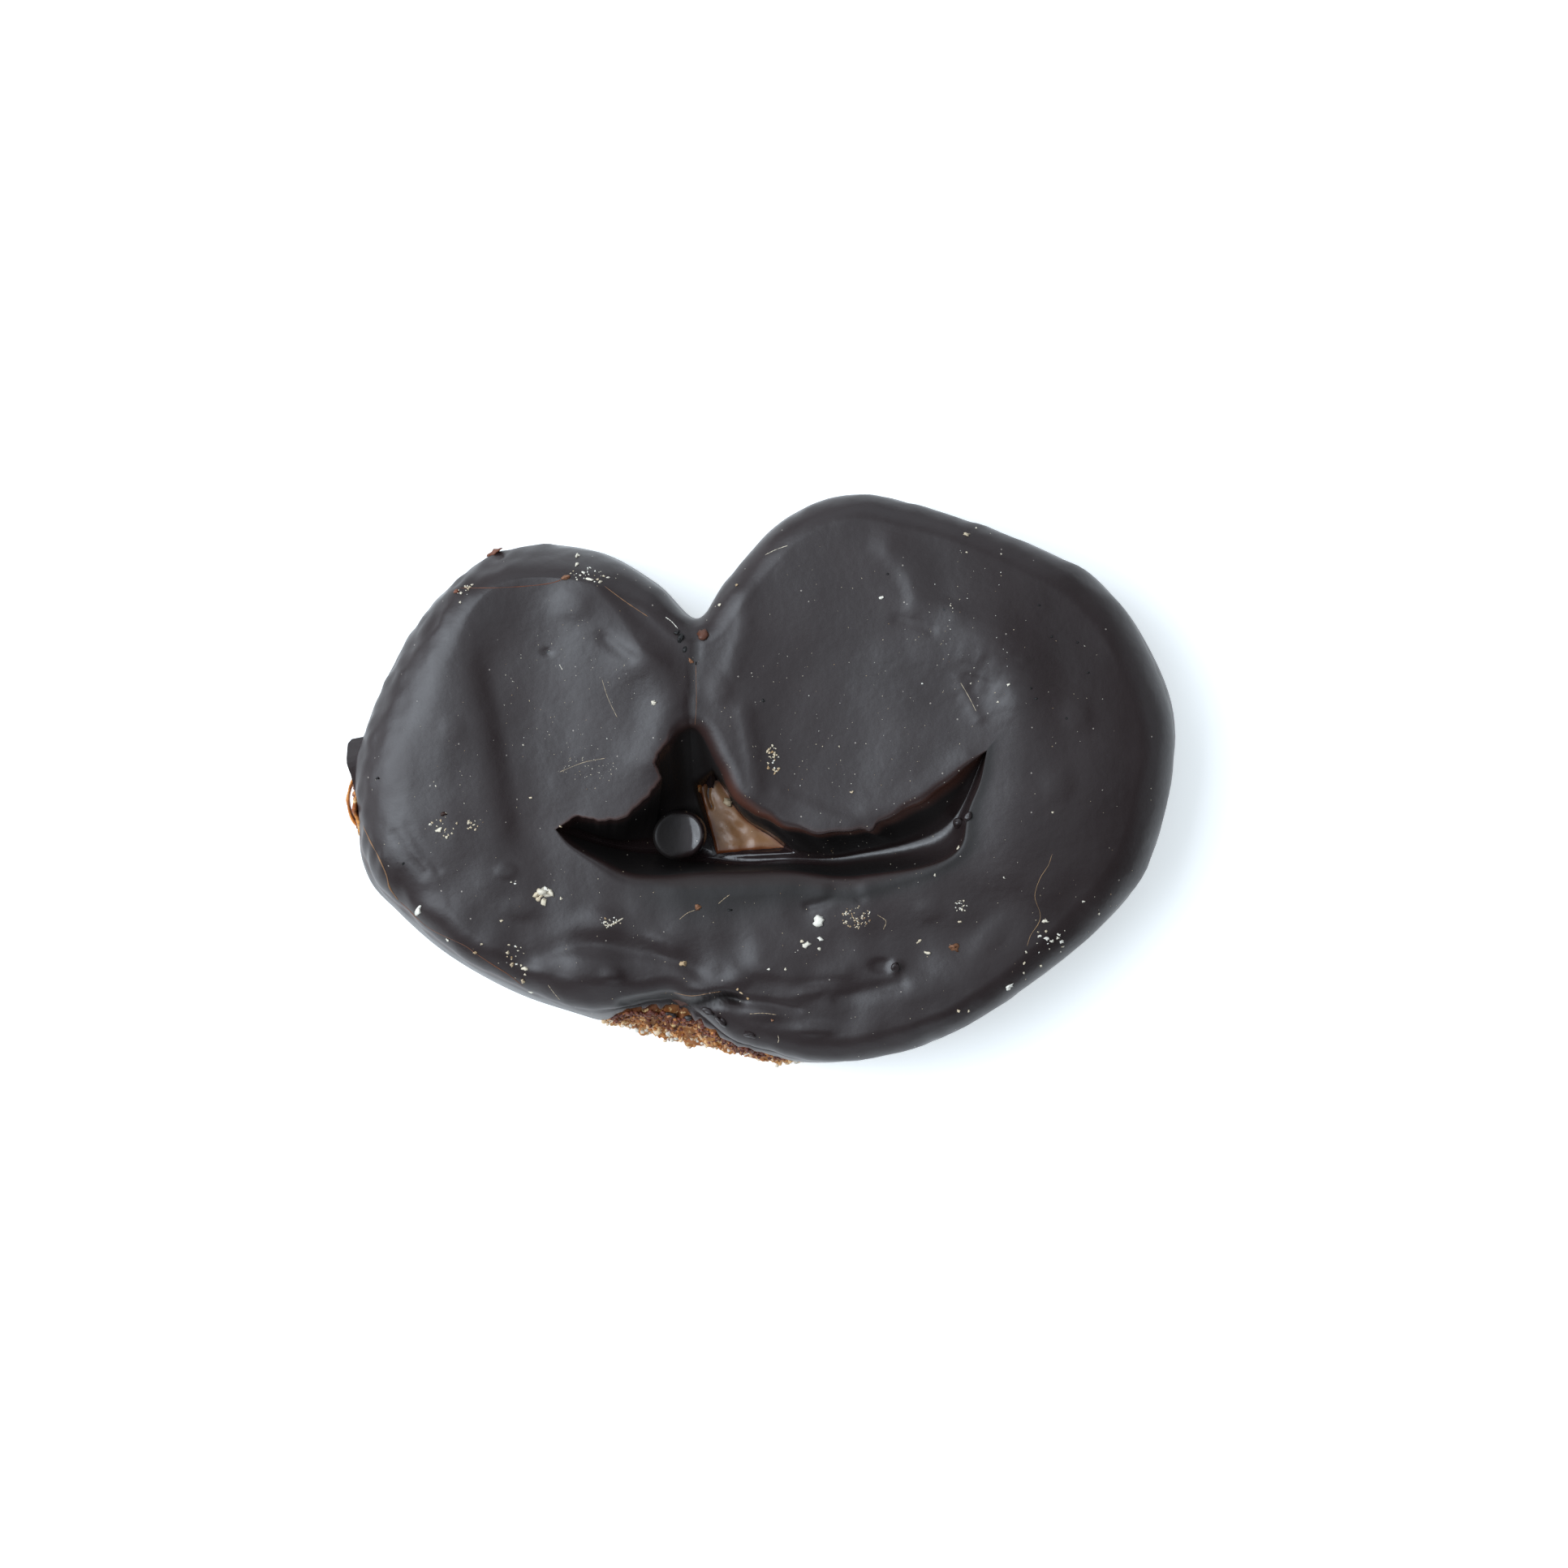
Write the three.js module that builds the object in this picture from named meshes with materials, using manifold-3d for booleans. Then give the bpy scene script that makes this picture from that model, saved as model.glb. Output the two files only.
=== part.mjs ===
// A palmier: a slice of a double roll of puff pastry, baked flat and coated in dark chocolate.
// Units are millimetres, +Z is up, and the origin is on the table under the middle of the pastry.
//
// Both solids are lofts. The body is a band of dough folded round a curved slit, so every column of
// the loft starts on the slit's spine, climbs the slit's wall to its mouth, crosses the top face,
// turns over the shoulder and runs down the side to the rim. A second surface, sunk under the first
// by the thickness of the chocolate, gives the dough inside it.
import * as THREE from "three";
import Module from "manifold-3d";

// ---- driving dimensions -------------------------------------------------------------------------
const BAND_TOP = 15.2; // height of the folded band
const COAT = 1.2; // thickness of the chocolate
const CLEARANCE = 0.3; // air left between chocolate and dough
const RIM_Z = 0.6; // the chocolate's lower rim hangs this far above the table
const FOOT_Z = 2.2; // height of the widest part of the chocolate's foot
const FOOT_TUCK = 0.5; // how far the rim turns back in under the foot
const SHOULDER_WIDE = 3.6; // width and height of the shoulder between the top face and the side
const SHOULDER_HIGH = 3.0;
const WALL_RUN = 0.4; // how far the side leans out from shoulder to foot
const BASE_ROUND = 1.0; // the dough's bottom edge
const WEB_TOP = 4.0; // top of the thin web of bare dough at the bottom of the slit
const WEB_DIP = 0.6; // the chocolate dips this far under the web's top to show it

const COLUMNS = 100; // round the loft, half below the slit and half above it
const OUTSIDE = { slit: 5, lip: 2, top: 8, shoulder: 4, wall: 3 }; // rows of the chocolate's outside
const INSIDE = { slit: 4, lip: 1, top: 5, shoulder: 3, wall: 2, foot: 2, under: 3 }; // and of the dough

// ---- plan curves --------------------------------------------------------------------------------
// The rim runs all round, from a point left of the slit along the front and back over the rolls. Its
// middle is right of the slit; the cleft between the rolls is three quarters of the way round.
const RIM = [
  [-52.3, -7.0], [-50.9, -13.2], [-47.3, -17.3], [-42.3, -21.8], // left side, turning to the front
  [-36.8, -25.4], [-30.5, -28.5], [-23.5, -30.8], [-16.3, -33.0],
  [-8.8, -34.9], [3.0, -37.0], [14.4, -36.5], [24.5, -33.6], // front
  [34.3, -27.7], [43.4, -20.6], [50.4, -12.6], [53.8, -2.0],
  [54.7, 8.8], [50.6, 18.8], [43.9, 26.6], [35.0, 31.0], // right roll
  [24.2, 34.9], [12.9, 37.3], [3.5, 34.1], [-4.2, 26.0],
  [-7.9, 21.2], [-13.3, 25.9], [-21.0, 30.0], [-31.0, 30.6], // cleft and left roll
  [-38.8, 26.6], [-44.8, 19.8], [-49.2, 11.7], [-52.4, 2.6],
];
// The slit runs from its left end to its right end, with its waist under the cleft in the middle of
// each curve: the lip in front of it, the lip behind it and the line of its floor (x, y and height).
const FRONT_LIP = [
  [-26.0, -6.4], [-23.8, -8.5], [-20.3, -10.3], [-16.4, -12.0], [-12.0, -12.3], [-7.6, -11.9],
  [-2.0, -11.8], [4.2, -11.7], [13.5, -12.3], [26.6, -8.8], [29.6, 3.8],
];
const BACK_LIP = [
  [-26.0, -6.4], [-22.8, -4.8], [-18.6, -5.4], [-13.1, -1.4], [-12.4, 3.4], [-8.2, 6.6],
  [-5.1, 1.6], [-1.8, -3.6], [8.2, -7.0], [20.2, -3.6], [29.6, 3.8],
];
const FLOOR = [
  [-26.0, -6.4, 14.4], [-23.0, -7.2, 9.5], [-19.0, -8.4, 6.0], [-15.0, -9.0, 4.2],
  [-11.3, -9.0, 3.4], [-7.6, -9.0, 3.4], [-2.5, -10.2, 4.2], [3.6, -10.2, 5.2],
  [12.0, -9.9, 6.4], [24.4, -6.0, 11.6], [29.6, 3.8, 15.2],
];
// Corners of the gap in the chocolate that shows the web, counterclockwise. The side from the last
// corner to the first is bent inwards.
const WINDOW = [[-5.7, 0.8], [-7.8, -1.0], [-5.3, -9.6], [4.1, -9.1]];

// ---- small maths --------------------------------------------------------------------------------
const clamp = (x) => Math.min(1, Math.max(0, x));
const mix = (a, b, t) => a + (b - a) * t;
const bell = (x) => Math.exp(-x * x);
function ease(from, to, x) {
  const t = clamp((x - from) / (to - from));
  return t * t * (3 - 2 * t);
}
function curve(points, closed) {
  const places = points.map(([x, y, z = 0]) => new THREE.Vector3(x, y, z));
  return new THREE.CatmullRomCurve3(places, closed, "catmullrom");
}
const rim = curve(RIM, true);
const lips = [curve(FRONT_LIP, false), curve(BACK_LIP, false)];
const slitFloor = curve(FLOOR, false);

// Unit vectors in plan: square to the right of a direction, and along a curve, from the points a
// step before and after t.
const rightOf = (v) => new THREE.Vector3(v.y, -v.x, 0).normalize();
function heading(path, t, step) {
  const before = path.closed ? t - step : Math.max(t - step, 0);
  const after = path.closed ? t + step : Math.min(t + step, 1);
  return path.getPoint(after).sub(path.getPoint(before)).setZ(0).normalize();
}

// Signed distance to the window, negative inside.
function windowDistance(x, y) {
  let far = -Infinity;
  WINDOW.forEach(([ax, ay], i) => {
    const [bx, by] = WINDOW[(i + 1) % WINDOW.length];
    const length = Math.hypot(bx - ax, by - ay);
    far = Math.max(far, ((by - ay) * (x - ax) - (bx - ax) * (y - ay)) / length);
  });
  return far + 1.2 * bell(Math.hypot(x + 1, y + 4.2) / 3);
}

// ---- form of the top face -----------------------------------------------------------------------
// Broad swellings and hollows of the top face: place, radii, turn in degrees and height.
const FORMS = [
  { x: 21, y: 9, rx: 36, ry: 34, turn: 0, rise: 1.9 }, // right roll and its band stand higher
  { x: -27, y: 8, rx: 22, ry: 26, turn: 0, rise: 0.5 }, // left roll
  { x: 8, y: 7, rx: 9, ry: 13, turn: 0, rise: -0.9 }, // dish inside the right roll
  { x: -30.5, y: 4, rx: 6, ry: 11, turn: 0, rise: -0.55 }, // dish between the left roll and its band
  { x: -16.5, y: 14, rx: 4.5, ry: 10, turn: 25, rise: 0.5 }, // crest of the left roll
  { x: -37.5, y: 3, rx: 6, ry: 17, turn: 8, rise: 0.45 }, // crown of the band on the left
  { x: 31, y: 12, rx: 8, ry: 15, turn: -18, rise: 0.3 }, // edge of the right roll
  { x: 33, y: 13.5, rx: 6, ry: 5.5, turn: 0, rise: 0.8 }, // swelling where that roll's end meets its band
  { x: 41.5, y: -1, rx: 12, ry: 16, turn: -16, rise: 2.0 }, // crown of the band on the right
  { x: -2, y: 10, rx: 4, ry: 14, turn: 5, rise: 0.45 }, // ridge beside the crease
  { x: -8, y: -22, rx: 26, ry: 6, turn: -6, rise: 0.4 }, // crown of the band in front
  { x: -20.3, y: -24.7, rx: 4.2, ry: 2.3, turn: -8, rise: 0.6 }, // swelling over the bare crust
  { x: 25, y: -28, rx: 10, ry: 4.5, turn: 20, rise: 0.7 }, // shoulder of the band, right of the front
];
// The crease between the rolls: a notch and a wider hollow.
const CREASE = { x: -8.0, from: 5.0, to: 30.0, deep: 1.2, wide: 0.3, shallow: 0.1, wider: 3.0 };

function form({ x: cx, y: cy, rx, ry, turn, rise }, x, y) {
  const a = THREE.MathUtils.degToRad(turn);
  const dx = x - cx;
  const dy = y - cy;
  const across = (dx * Math.cos(a) + dy * Math.sin(a)) / rx;
  const along = (dy * Math.cos(a) - dx * Math.sin(a)) / ry;
  return rise * Math.exp(-Math.pow(across * across + along * along, 1.5));
}

function surface(x, y) {
  let z = BAND_TOP;
  for (const f of FORMS) z += form(f, x, y);
  const beside = x - CREASE.x;
  const reach = ease(CREASE.from, CREASE.from + 4, y) * (1 - ease(CREASE.to, CREASE.to + 5, y));
  z -= reach * CREASE.deep * Math.exp(-Math.hypot(beside, 0.3) / CREASE.wide);
  z -= reach * CREASE.shallow * bell(beside / CREASE.wider);
  return z - 1.9 * ease(24, 58, x) * ease(-44, -16, y); // the top falls a little to the right
}

// The top face sunk by the same amount square to itself, so by more where it is steep.
function topHeight(x, y, sink) {
  const z = surface(x, y);
  if (sink === 0) return z;
  const step = 0.2;
  const slope = Math.hypot(surface(x + step, y) - z, surface(x, y + step) - z) / step;
  return z - sink * Math.hypot(1, slope);
}

// How far the side leans out: more at the lower left, at the right and at the bare front.
function wallRun(x, y) {
  const left = 1.0 * bell(Math.hypot(x + 46, y + 19) / 12) + 0.9 * bell(Math.hypot(x + 31, y + 28) / 9);
  const right = 0.7 * bell(Math.hypot(x - 53, y - 12) / 9);
  const front = (5.3 * bell((x + 11.8) / 7.5) + 1.1 * bell((x - 1) / 5)) * ease(-20, -28, y);
  return WALL_RUN + left + right + front;
}

// Size and power of the shoulder: broad at the left and the right, steep at the front, and nearly a
// flat bevel at the back of the left roll.
function shoulderSize(x, y) {
  const left = ease(-36, -50, x) * ease(-26, -14, y);
  const right = ease(24, 48, x) * ease(-34, -18, y) * ease(40, 24, y);
  const bevel = bell(Math.hypot(x + 27, y - 31) / 12);
  return {
    wide: SHOULDER_WIDE + 4.2 * left + 1.2 * right + 0.8 * bevel,
    high: SHOULDER_HIGH + 2.6 * left + 0.6 * right + 2.6 * bevel,
    power: 1.8 + 0.2 * left - 0.5 * bevel,
  };
}

// How high the chocolate's rim lifts off the table, where it bares the dough: the front and the left.
function rimLift(x, y) {
  const front = y < -20 ? ease(-22, -15, x) * (1 - ease(0, 10.5, x)) : 0;
  const left = x < -40 ? ease(-10, -5.5, y) * (1 - ease(0.5, 5, y)) : 0;
  return 10.6 * front + 8.6 * left;
}

// The lump of coated flake that sticks out of the left side, at one height only.
function nub(x, y, z) {
  return x < -45 ? 2.7 * ease(6.2, 4.6, y) * ease(-1.8, 4.6, y) * bell((z - 10.5) / 2.2) : 0;
}

// ---- one column of the loft ---------------------------------------------------------------------
// Places shared by every surface at u round the loft, with all of it sunk by `sink` under the
// chocolate's outside: the slit's walls and the side move into the body, and the top moves down.
function station(u, sink) {
  const back = u > 0.5;
  const s = back ? 2 - 2 * u : 2 * u;
  const taper = Math.sqrt(Math.max(Math.sin(Math.PI * s), 0)); // the slit closes at both ends
  const blend = ease(0.94, 1, s) - ease(0.06, 0, s);
  const end = heading(slitFloor, s, 0.001).multiplyScalar(blend);
  const lipCurve = lips[back ? 1 : 0];
  const away = rightOf(heading(lipCurve, s, 0.03)).multiplyScalar(back ? -1 : 1);
  away.multiplyScalar(1 - Math.abs(blend)).add(end).normalize();
  const edge = lipCurve.getPoint(s).addScaledVector(away, sink);
  const bottom = slitFloor.getPoint(s).addScaledVector(end, sink);
  // Columns are turned a little round the rim so that none of them cross at the slit's right end.
  const around = u + (1.9 * bell((u - 0.53) / 0.07) - 1.5 * bell((u - 0.4) / 0.055)) / RIM.length;
  const foot = rim.getPoint(around);
  const out = rightOf(heading(rim, around, 0.03));
  const { wide, high, power } = shoulderSize(foot.x, foot.y);
  const run = wallRun(foot.x, foot.y);
  const lift = rimLift(foot.x, foot.y);
  foot.addScaledVector(out, -sink);
  // The back lip is sharp under the left roll, and round in the valley below the cleft, along the
  // right roll and at the right end. The front lip is round, and sharper at both ends.
  const valley = 1.6 * ease(0.42, 0.47, s) * ease(0.54, 0.5, s);
  const disc = 2.0 * ease(0.5, 0.54, s) * ease(0.82, 0.7, s);
  const rightEnd = 2.0 * ease(0.84, 0.92, s);
  const front = mix(0.8, 2.0, ease(0.08, 0.3, s)) - 1.4 * ease(0.78, 0.9, s);
  const soft = back ? 0.45 + valley + disc + rightEnd : front;
  const lip = Math.max(soft - sink, 0.25) * taper;
  const lipRun = lip * (back ? 1 : mix(1, 1.6, ease(0.35, 0.5, s)));
  return {
    s, back, taper, bottom, edge, away, out, foot, run, lift, lip, lipRun, power,
    wide: wide - sink,
    high: high - sink,
  };
}

// From the spine up to the mouth, a superellipse: straight walls under the rolls and at the left, and
// a round channel at the front of the right half.
function slitWall(k, sink, web, rows) {
  const points = [];
  const channel = 0.8 * ease(0.35, 0.5, k.s) + 0.9 * ease(0.35, 0.48, k.s) * ease(0.75, 0.6, k.s);
  const power = k.back ? 1.3 : 1.3 + channel;
  const top = topHeight(k.edge.x, k.edge.y, sink) - k.lip;
  const floor = Math.min(k.bottom.z - sink, top - 0.02);
  for (let i = 0; i < rows; i++) {
    const angle = (Math.PI / 2) * (1 - i / rows);
    const across = 1 - Math.pow(Math.max(Math.cos(angle), 0), 2 / power);
    const down = Math.pow(Math.sin(angle), 2 / power);
    const x = mix(k.edge.x, k.bottom.x, across);
    const y = mix(k.edge.y, k.bottom.y, across);
    let z = mix(top, floor, down);
    const inside = 1 - ease(-0.5, 0.7, windowDistance(x, y));
    z = mix(z, Math.min(z, web), inside * k.taper);
    points.push([x, y, z]);
  }
  return points;
}

function lipAndTop(k, sink, rows) {
  const points = [];
  const top = topHeight(k.edge.x, k.edge.y, sink);
  for (let i = 0; i < rows.lip; i++) {
    const angle = (Math.PI / 2) * (i / rows.lip);
    const reach = k.lipRun * (1 - Math.cos(angle));
    points.push([
      k.edge.x + k.away.x * reach,
      k.edge.y + k.away.y * reach,
      top - k.lip * (1 - Math.sin(angle)),
    ]);
  }
  const inset = k.run + k.wide;
  for (let i = 0; i <= rows.top; i++) {
    const t = i / rows.top;
    const x = mix(k.edge.x + k.away.x * k.lipRun, k.foot.x - k.out.x * inset, t);
    const y = mix(k.edge.y + k.away.y * k.lipRun, k.foot.y - k.out.y * inset, t);
    points.push([x, y, topHeight(x, y, sink)]);
  }
  return points;
}

// Over a quarter of a superellipse, under the top face's own height carried outwards.
function shoulderRows(k, sink, rows) {
  const points = [];
  for (let i = 1; i <= rows; i++) {
    const angle = (Math.PI / 2) * (i / rows);
    const reach = k.wide * (1 - Math.pow(Math.sin(angle), 2 / k.power)) + k.run;
    const x = k.foot.x - k.out.x * reach;
    const y = k.foot.y - k.out.y * reach;
    const fall = k.high * (1 - Math.pow(Math.max(Math.cos(angle), 0), 2 / k.power));
    points.push([x, y, topHeight(x, y, sink) - fall]);
  }
  return points;
}

// The side leans out down to its foot, which on bare dough is above the table as on the chocolate.
function sidePoint(k, from, z, bulge) {
  const t = clamp((from - z) / (from - FOOT_Z));
  const tuck = FOOT_TUCK * ease(FOOT_Z, RIM_Z, z);
  const reach = k.run * (1 - Math.pow(t, 0.6)) + tuck - bulge - nub(k.foot.x, k.foot.y, z);
  return [k.foot.x - k.out.x * reach, k.foot.y - k.out.y * reach, z];
}

// The outside of the chocolate, closed inside the dough's space so that it can be cut by it.
function coatColumn(u) {
  const k = station(u, 0);
  const rows = OUTSIDE;
  const points = [...slitWall(k, 0, WEB_TOP - WEB_DIP, rows.slit), ...lipAndTop(k, 0, rows)];
  points.push(...shoulderRows(k, 0, rows.shoulder));
  const from = points[points.length - 1][2];
  const rimZ = RIM_Z + k.lift;
  const low = Math.max(FOOT_Z, rimZ + 1);
  for (let i = 1; i < rows.wall; i++) {
    points.push(sidePoint(k, from, mix(from, low, i / (rows.wall - 1)), 0));
  }
  points.push(sidePoint(k, from, rimZ, 0));
  points.push([k.foot.x - k.out.x * 6, k.foot.y - k.out.y * 6, rimZ]);
  points.push([mix(k.foot.x, k.bottom.x, 0.6), mix(k.foot.y, k.bottom.y, 0.6), 1.0]);
  return { points, spineFloor: [k.bottom.x, k.bottom.y, 0.8] };
}

// The dough, or the cutter that clears its space in the chocolate.
function doughColumn(u, sink, floorZ, bare) {
  const k = station(u, sink);
  const rows = INSIDE;
  const points = [...slitWall(k, sink, Infinity, rows.slit), ...lipAndTop(k, sink, rows)];
  for (const p of points.slice(0, rows.slit)) {
    const inside = (1 - ease(-0.5, 0.7, windowDistance(p[0], p[1]))) * k.taper;
    p[2] = Math.max(p[2], mix(p[2], WEB_TOP + COAT + CLEARANCE - sink, inside));
  }
  points.push(...shoulderRows(k, sink, rows.shoulder));
  const from = points[points.length - 1][2];
  const ledge = Math.max(RIM_Z + k.lift - 0.5, 1.6);
  const stop = floorZ + BASE_ROUND;
  for (let i = 1; i <= rows.wall; i++) points.push(sidePoint(k, from, mix(from, ledge, i / rows.wall), 0));
  const share = bare ? ease(4, 8, k.lift) : 0;
  for (let i = 0; i <= rows.foot; i++) {
    const z = mix(Math.max(ledge - 0.6, stop), stop, i / rows.foot);
    const crag = 0.35 * Math.sin(u * 211 + i * 2.1);
    points.push(sidePoint(k, from, z, share * (sink - 0.2 + crag)));
  }
  const last = points[points.length - 1];
  points.push([last[0] - k.out.x * BASE_ROUND, last[1] - k.out.y * BASE_ROUND, floorZ]);
  for (let i = 1; i < rows.under; i++) {
    const t = i / rows.under;
    points.push([mix(last[0], k.bottom.x, t), mix(last[1], k.bottom.y, t), floorZ]);
  }
  return { points, spineFloor: [k.bottom.x, k.bottom.y, floorZ] };
}

// ---- from columns to a closed solid -------------------------------------------------------------
// Columns j and -j share their first point and their last one, both over the slit's spine, so the
// two halves of the loft close on each other there.
function loft(column) {
  const half = COLUMNS / 2;
  const position = [];
  const ring = [];
  for (let j = 0; j < COLUMNS; j++) {
    const { points, spineFloor } = column(j / COLUMNS);
    const row = [...points, spineFloor].map((p) => position.push(...p) / 3 - 1);
    if (j > half) {
      row[0] = ring[COLUMNS - j][0];
      row[row.length - 1] = ring[COLUMNS - j][row.length - 1];
    }
    ring.push(row);
  }
  const index = [];
  const rows = ring[0].length;
  for (let j = 0; j < COLUMNS; j++) {
    const a = ring[j];
    const b = ring[(j + 1) % COLUMNS];
    for (let i = 0; i + 1 < rows; i++) index.push(a[i], a[i + 1], b[i + 1], a[i], b[i + 1], b[i]);
  }
  return solidFrom(position, index);
}

const wasm = await Module();
wasm.setup();

// Points that fall together are merged and the faces that this closes up are dropped.
function solidFrom(position, index) {
  const found = new Map();
  const points = [];
  const merged = [];
  for (let i = 0; i < position.length; i += 3) {
    const p = position.slice(i, i + 3);
    const key = p.map((x) => Math.round(x * 200)).join();
    if (!found.has(key)) found.set(key, points.push(...p) / 3 - 1);
    merged.push(found.get(key));
  }
  const faces = [];
  for (let i = 0; i < index.length; i += 3) {
    const [a, b, c] = index.slice(i, i + 3).map((n) => merged[n]);
    if (a !== b && b !== c && c !== a) faces.push(a, b, c);
  }
  const mesh = new wasm.Mesh({
    numProp: 3,
    vertProperties: new Float32Array(points),
    triVerts: new Uint32Array(faces),
  });
  return new wasm.Manifold(mesh);
}

function solidOf(geometry) {
  const flat = geometry.index ? geometry.toNonIndexed() : geometry;
  const position = Array.from(flat.getAttribute("position").array);
  return solidFrom(position, position.slice(0, position.length / 3).map((_, i) => i));
}

function meshOf(solid, name, material) {
  const { numProp, numVert, vertProperties, triVerts } = solid.getMesh();
  const position = new Float32Array(numVert * 3);
  for (let i = 0; i < numVert; i++) {
    position.set(vertProperties.subarray(i * numProp, i * numProp + 3), i * 3);
  }
  const geometry = new THREE.BufferGeometry();
  geometry.setAttribute("position", new THREE.BufferAttribute(position, 3));
  geometry.setIndex(new THREE.BufferAttribute(triVerts, 1));
  geometry.computeVertexNormals();
  const mesh = new THREE.Mesh(geometry, material);
  mesh.name = name;
  return mesh;
}

// ---- loose layers and the drop ------------------------------------------------------------------
// Sheets of dough that have sprung off the left side: thin crescents in plan, joined at both ends.
const SHEETS = [
  { from: [-51.6, 1.4], to: [-51.6, -6.4], bow: 2.2, thick: 0.6, low: 1.4, high: 6.2 },
  { from: [-51.4, 0.4], to: [-51.2, -5.4], bow: 1.1, thick: 0.6, low: 2.6, high: 7.4 },
];

function sheet({ from, to, bow, thick, low, high }) {
  const steps = 8;
  const side = (out) =>
    Array.from({ length: steps + 1 }, (_, i) => {
      const t = i / steps;
      const x = mix(from[0], to[0], t) - (bow + out) * Math.sin(Math.PI * t);
      return new THREE.Vector2(x, mix(from[1], to[1], t));
    });
  const shape = new THREE.Shape([...side(thick), ...side(0).reverse().slice(1, -1)]);
  const settings = { depth: high - low, bevelEnabled: false, curveSegments: 1 };
  const geometry = new THREE.ExtrudeGeometry(shape, settings);
  return solidOf(geometry.translate(0, 0, low));
}

// The drop of chocolate that ran down into the slit and set there.
const DROP = { x: -10.1, y: -7.2, z: 6.4, radius: 3.4, height: 3.0 };

function drop() {
  const geometry = new THREE.SphereGeometry(1, 18, 12);
  geometry.rotateX(Math.PI / 2).scale(DROP.radius, DROP.radius, DROP.height);
  return solidOf(geometry.translate(DROP.x, DROP.y, DROP.z));
}

// ---- assembly -----------------------------------------------------------------------------------
const cutter = loft((u) => doughColumn(u, COAT, -2, false));
const coat = loft(coatColumn).add(drop()).subtract(cutter);
const baked = loft((u) => doughColumn(u, COAT + CLEARANCE, 0, true));
const dough = SHEETS.reduce((body, layer) => body.add(sheet(layer)), baked);

const chocolate = new THREE.MeshStandardMaterial({ color: 0x2b201e, roughness: 0.38, metalness: 0 });
const pastry = new THREE.MeshStandardMaterial({ color: 0xb9722e, roughness: 0.8, metalness: 0 });

const palmier = new THREE.Group();
palmier.name = "palmier";
palmier.add(meshOf(dough, "puff_pastry", pastry));
palmier.add(meshOf(coat, "chocolate_coat", chocolate));

export default palmier;
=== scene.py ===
import bmesh
import bpy
import numpy as np
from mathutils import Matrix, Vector


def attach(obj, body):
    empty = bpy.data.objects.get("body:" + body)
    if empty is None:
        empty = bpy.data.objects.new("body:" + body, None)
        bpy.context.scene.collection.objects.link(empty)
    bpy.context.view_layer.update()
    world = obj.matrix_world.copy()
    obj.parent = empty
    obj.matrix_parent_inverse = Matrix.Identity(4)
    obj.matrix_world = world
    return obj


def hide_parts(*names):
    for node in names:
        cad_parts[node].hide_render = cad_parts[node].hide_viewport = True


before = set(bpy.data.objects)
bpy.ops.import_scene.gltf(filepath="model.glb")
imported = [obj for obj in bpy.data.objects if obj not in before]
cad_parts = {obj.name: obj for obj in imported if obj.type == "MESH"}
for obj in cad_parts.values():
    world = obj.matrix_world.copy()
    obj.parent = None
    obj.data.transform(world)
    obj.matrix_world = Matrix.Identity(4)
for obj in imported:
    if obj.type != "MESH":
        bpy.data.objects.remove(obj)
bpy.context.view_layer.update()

# ---- the form of the pastry ---------------------------------------------------------------------
# A slice of a double roll of puff pastry: a band of dough, folded round a curved slit, whose two
# ends curl in to a roll on each side of a cleft. Dough and chocolate both follow this one form.
# The foot's outline, from the left end along the front, the right and the back.
RIM = [
    (-52.3, -7.0), (-50.9, -13.2), (-47.3, -17.3), (-42.3, -21.8),
    (-36.8, -25.4), (-30.5, -28.5), (-23.5, -30.8), (-16.3, -33.0),
    (-8.8, -34.9), (3.0, -37.0), (14.4, -36.5), (24.5, -33.6),
    (34.3, -27.7), (43.4, -20.6), (50.4, -12.6), (53.8, -2.0),
    (54.7, 8.8), (50.6, 18.8), (43.9, 26.6), (35.0, 31.0),
    (24.2, 34.9), (12.9, 37.3), (3.5, 34.1), (-4.2, 26.0),
    (-7.9, 21.2), (-13.3, 25.9), (-21.0, 30.0), (-31.0, 30.6),
    (-38.8, 26.6), (-44.8, 19.8), (-49.2, 11.7), (-52.4, 2.6),
]
# The slit's lips in plan and the line along its floor with its heights, all from left to right.
FRONT_LIP = [
    (-26.0, -6.4), (-23.8, -8.5), (-20.3, -10.3), (-16.4, -12.0), (-12.0, -12.3), (-7.6, -11.9),
    (-2.0, -11.8), (4.2, -11.7), (13.5, -12.3), (26.6, -8.8), (29.6, 3.8),
]
BACK_LIP = [
    (-26.0, -6.4), (-22.8, -4.8), (-18.6, -5.4), (-13.1, -1.4), (-12.4, 3.4), (-8.2, 6.6),
    (-5.1, 1.6), (-1.8, -3.6), (8.2, -7.0), (20.2, -3.6), (29.6, 3.8),
]
FLOOR = [
    (-26.0, -6.4, 14.4), (-23.0, -7.2, 9.5), (-19.0, -8.4, 6.0), (-15.0, -9.0, 4.2),
    (-11.3, -9.0, 3.4), (-7.6, -9.0, 3.4), (-2.5, -10.2, 4.2), (3.6, -10.2, 5.2),
    (12.0, -9.9, 6.4), (24.4, -6.0, 11.6), (29.6, 3.8, 15.2),
]
# The gap in the chocolate on the slit's floor.
WINDOW = [(-5.7, 0.8), (-7.8, -1.0), (-5.3, -9.6), (4.1, -9.1)]
BAND_TOP = 15.2  # height of the top face before its swellings
COAT = 1.2  # thickness of the chocolate
RIM_Z = 0.6  # height of the chocolate's rim
FOOT_Z = 2.2  # height where the side stands out furthest
FOOT_TUCK = 0.5  # how far it draws back in below that
SHOULDER_WIDE = 3.6
SHOULDER_HIGH = 3.0
WALL_RUN = 0.4  # least lean of the side
WEB_TOP = 4.0  # height of the web in the slit
COLUMNS = 480  # columns of points round the pastry


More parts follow.
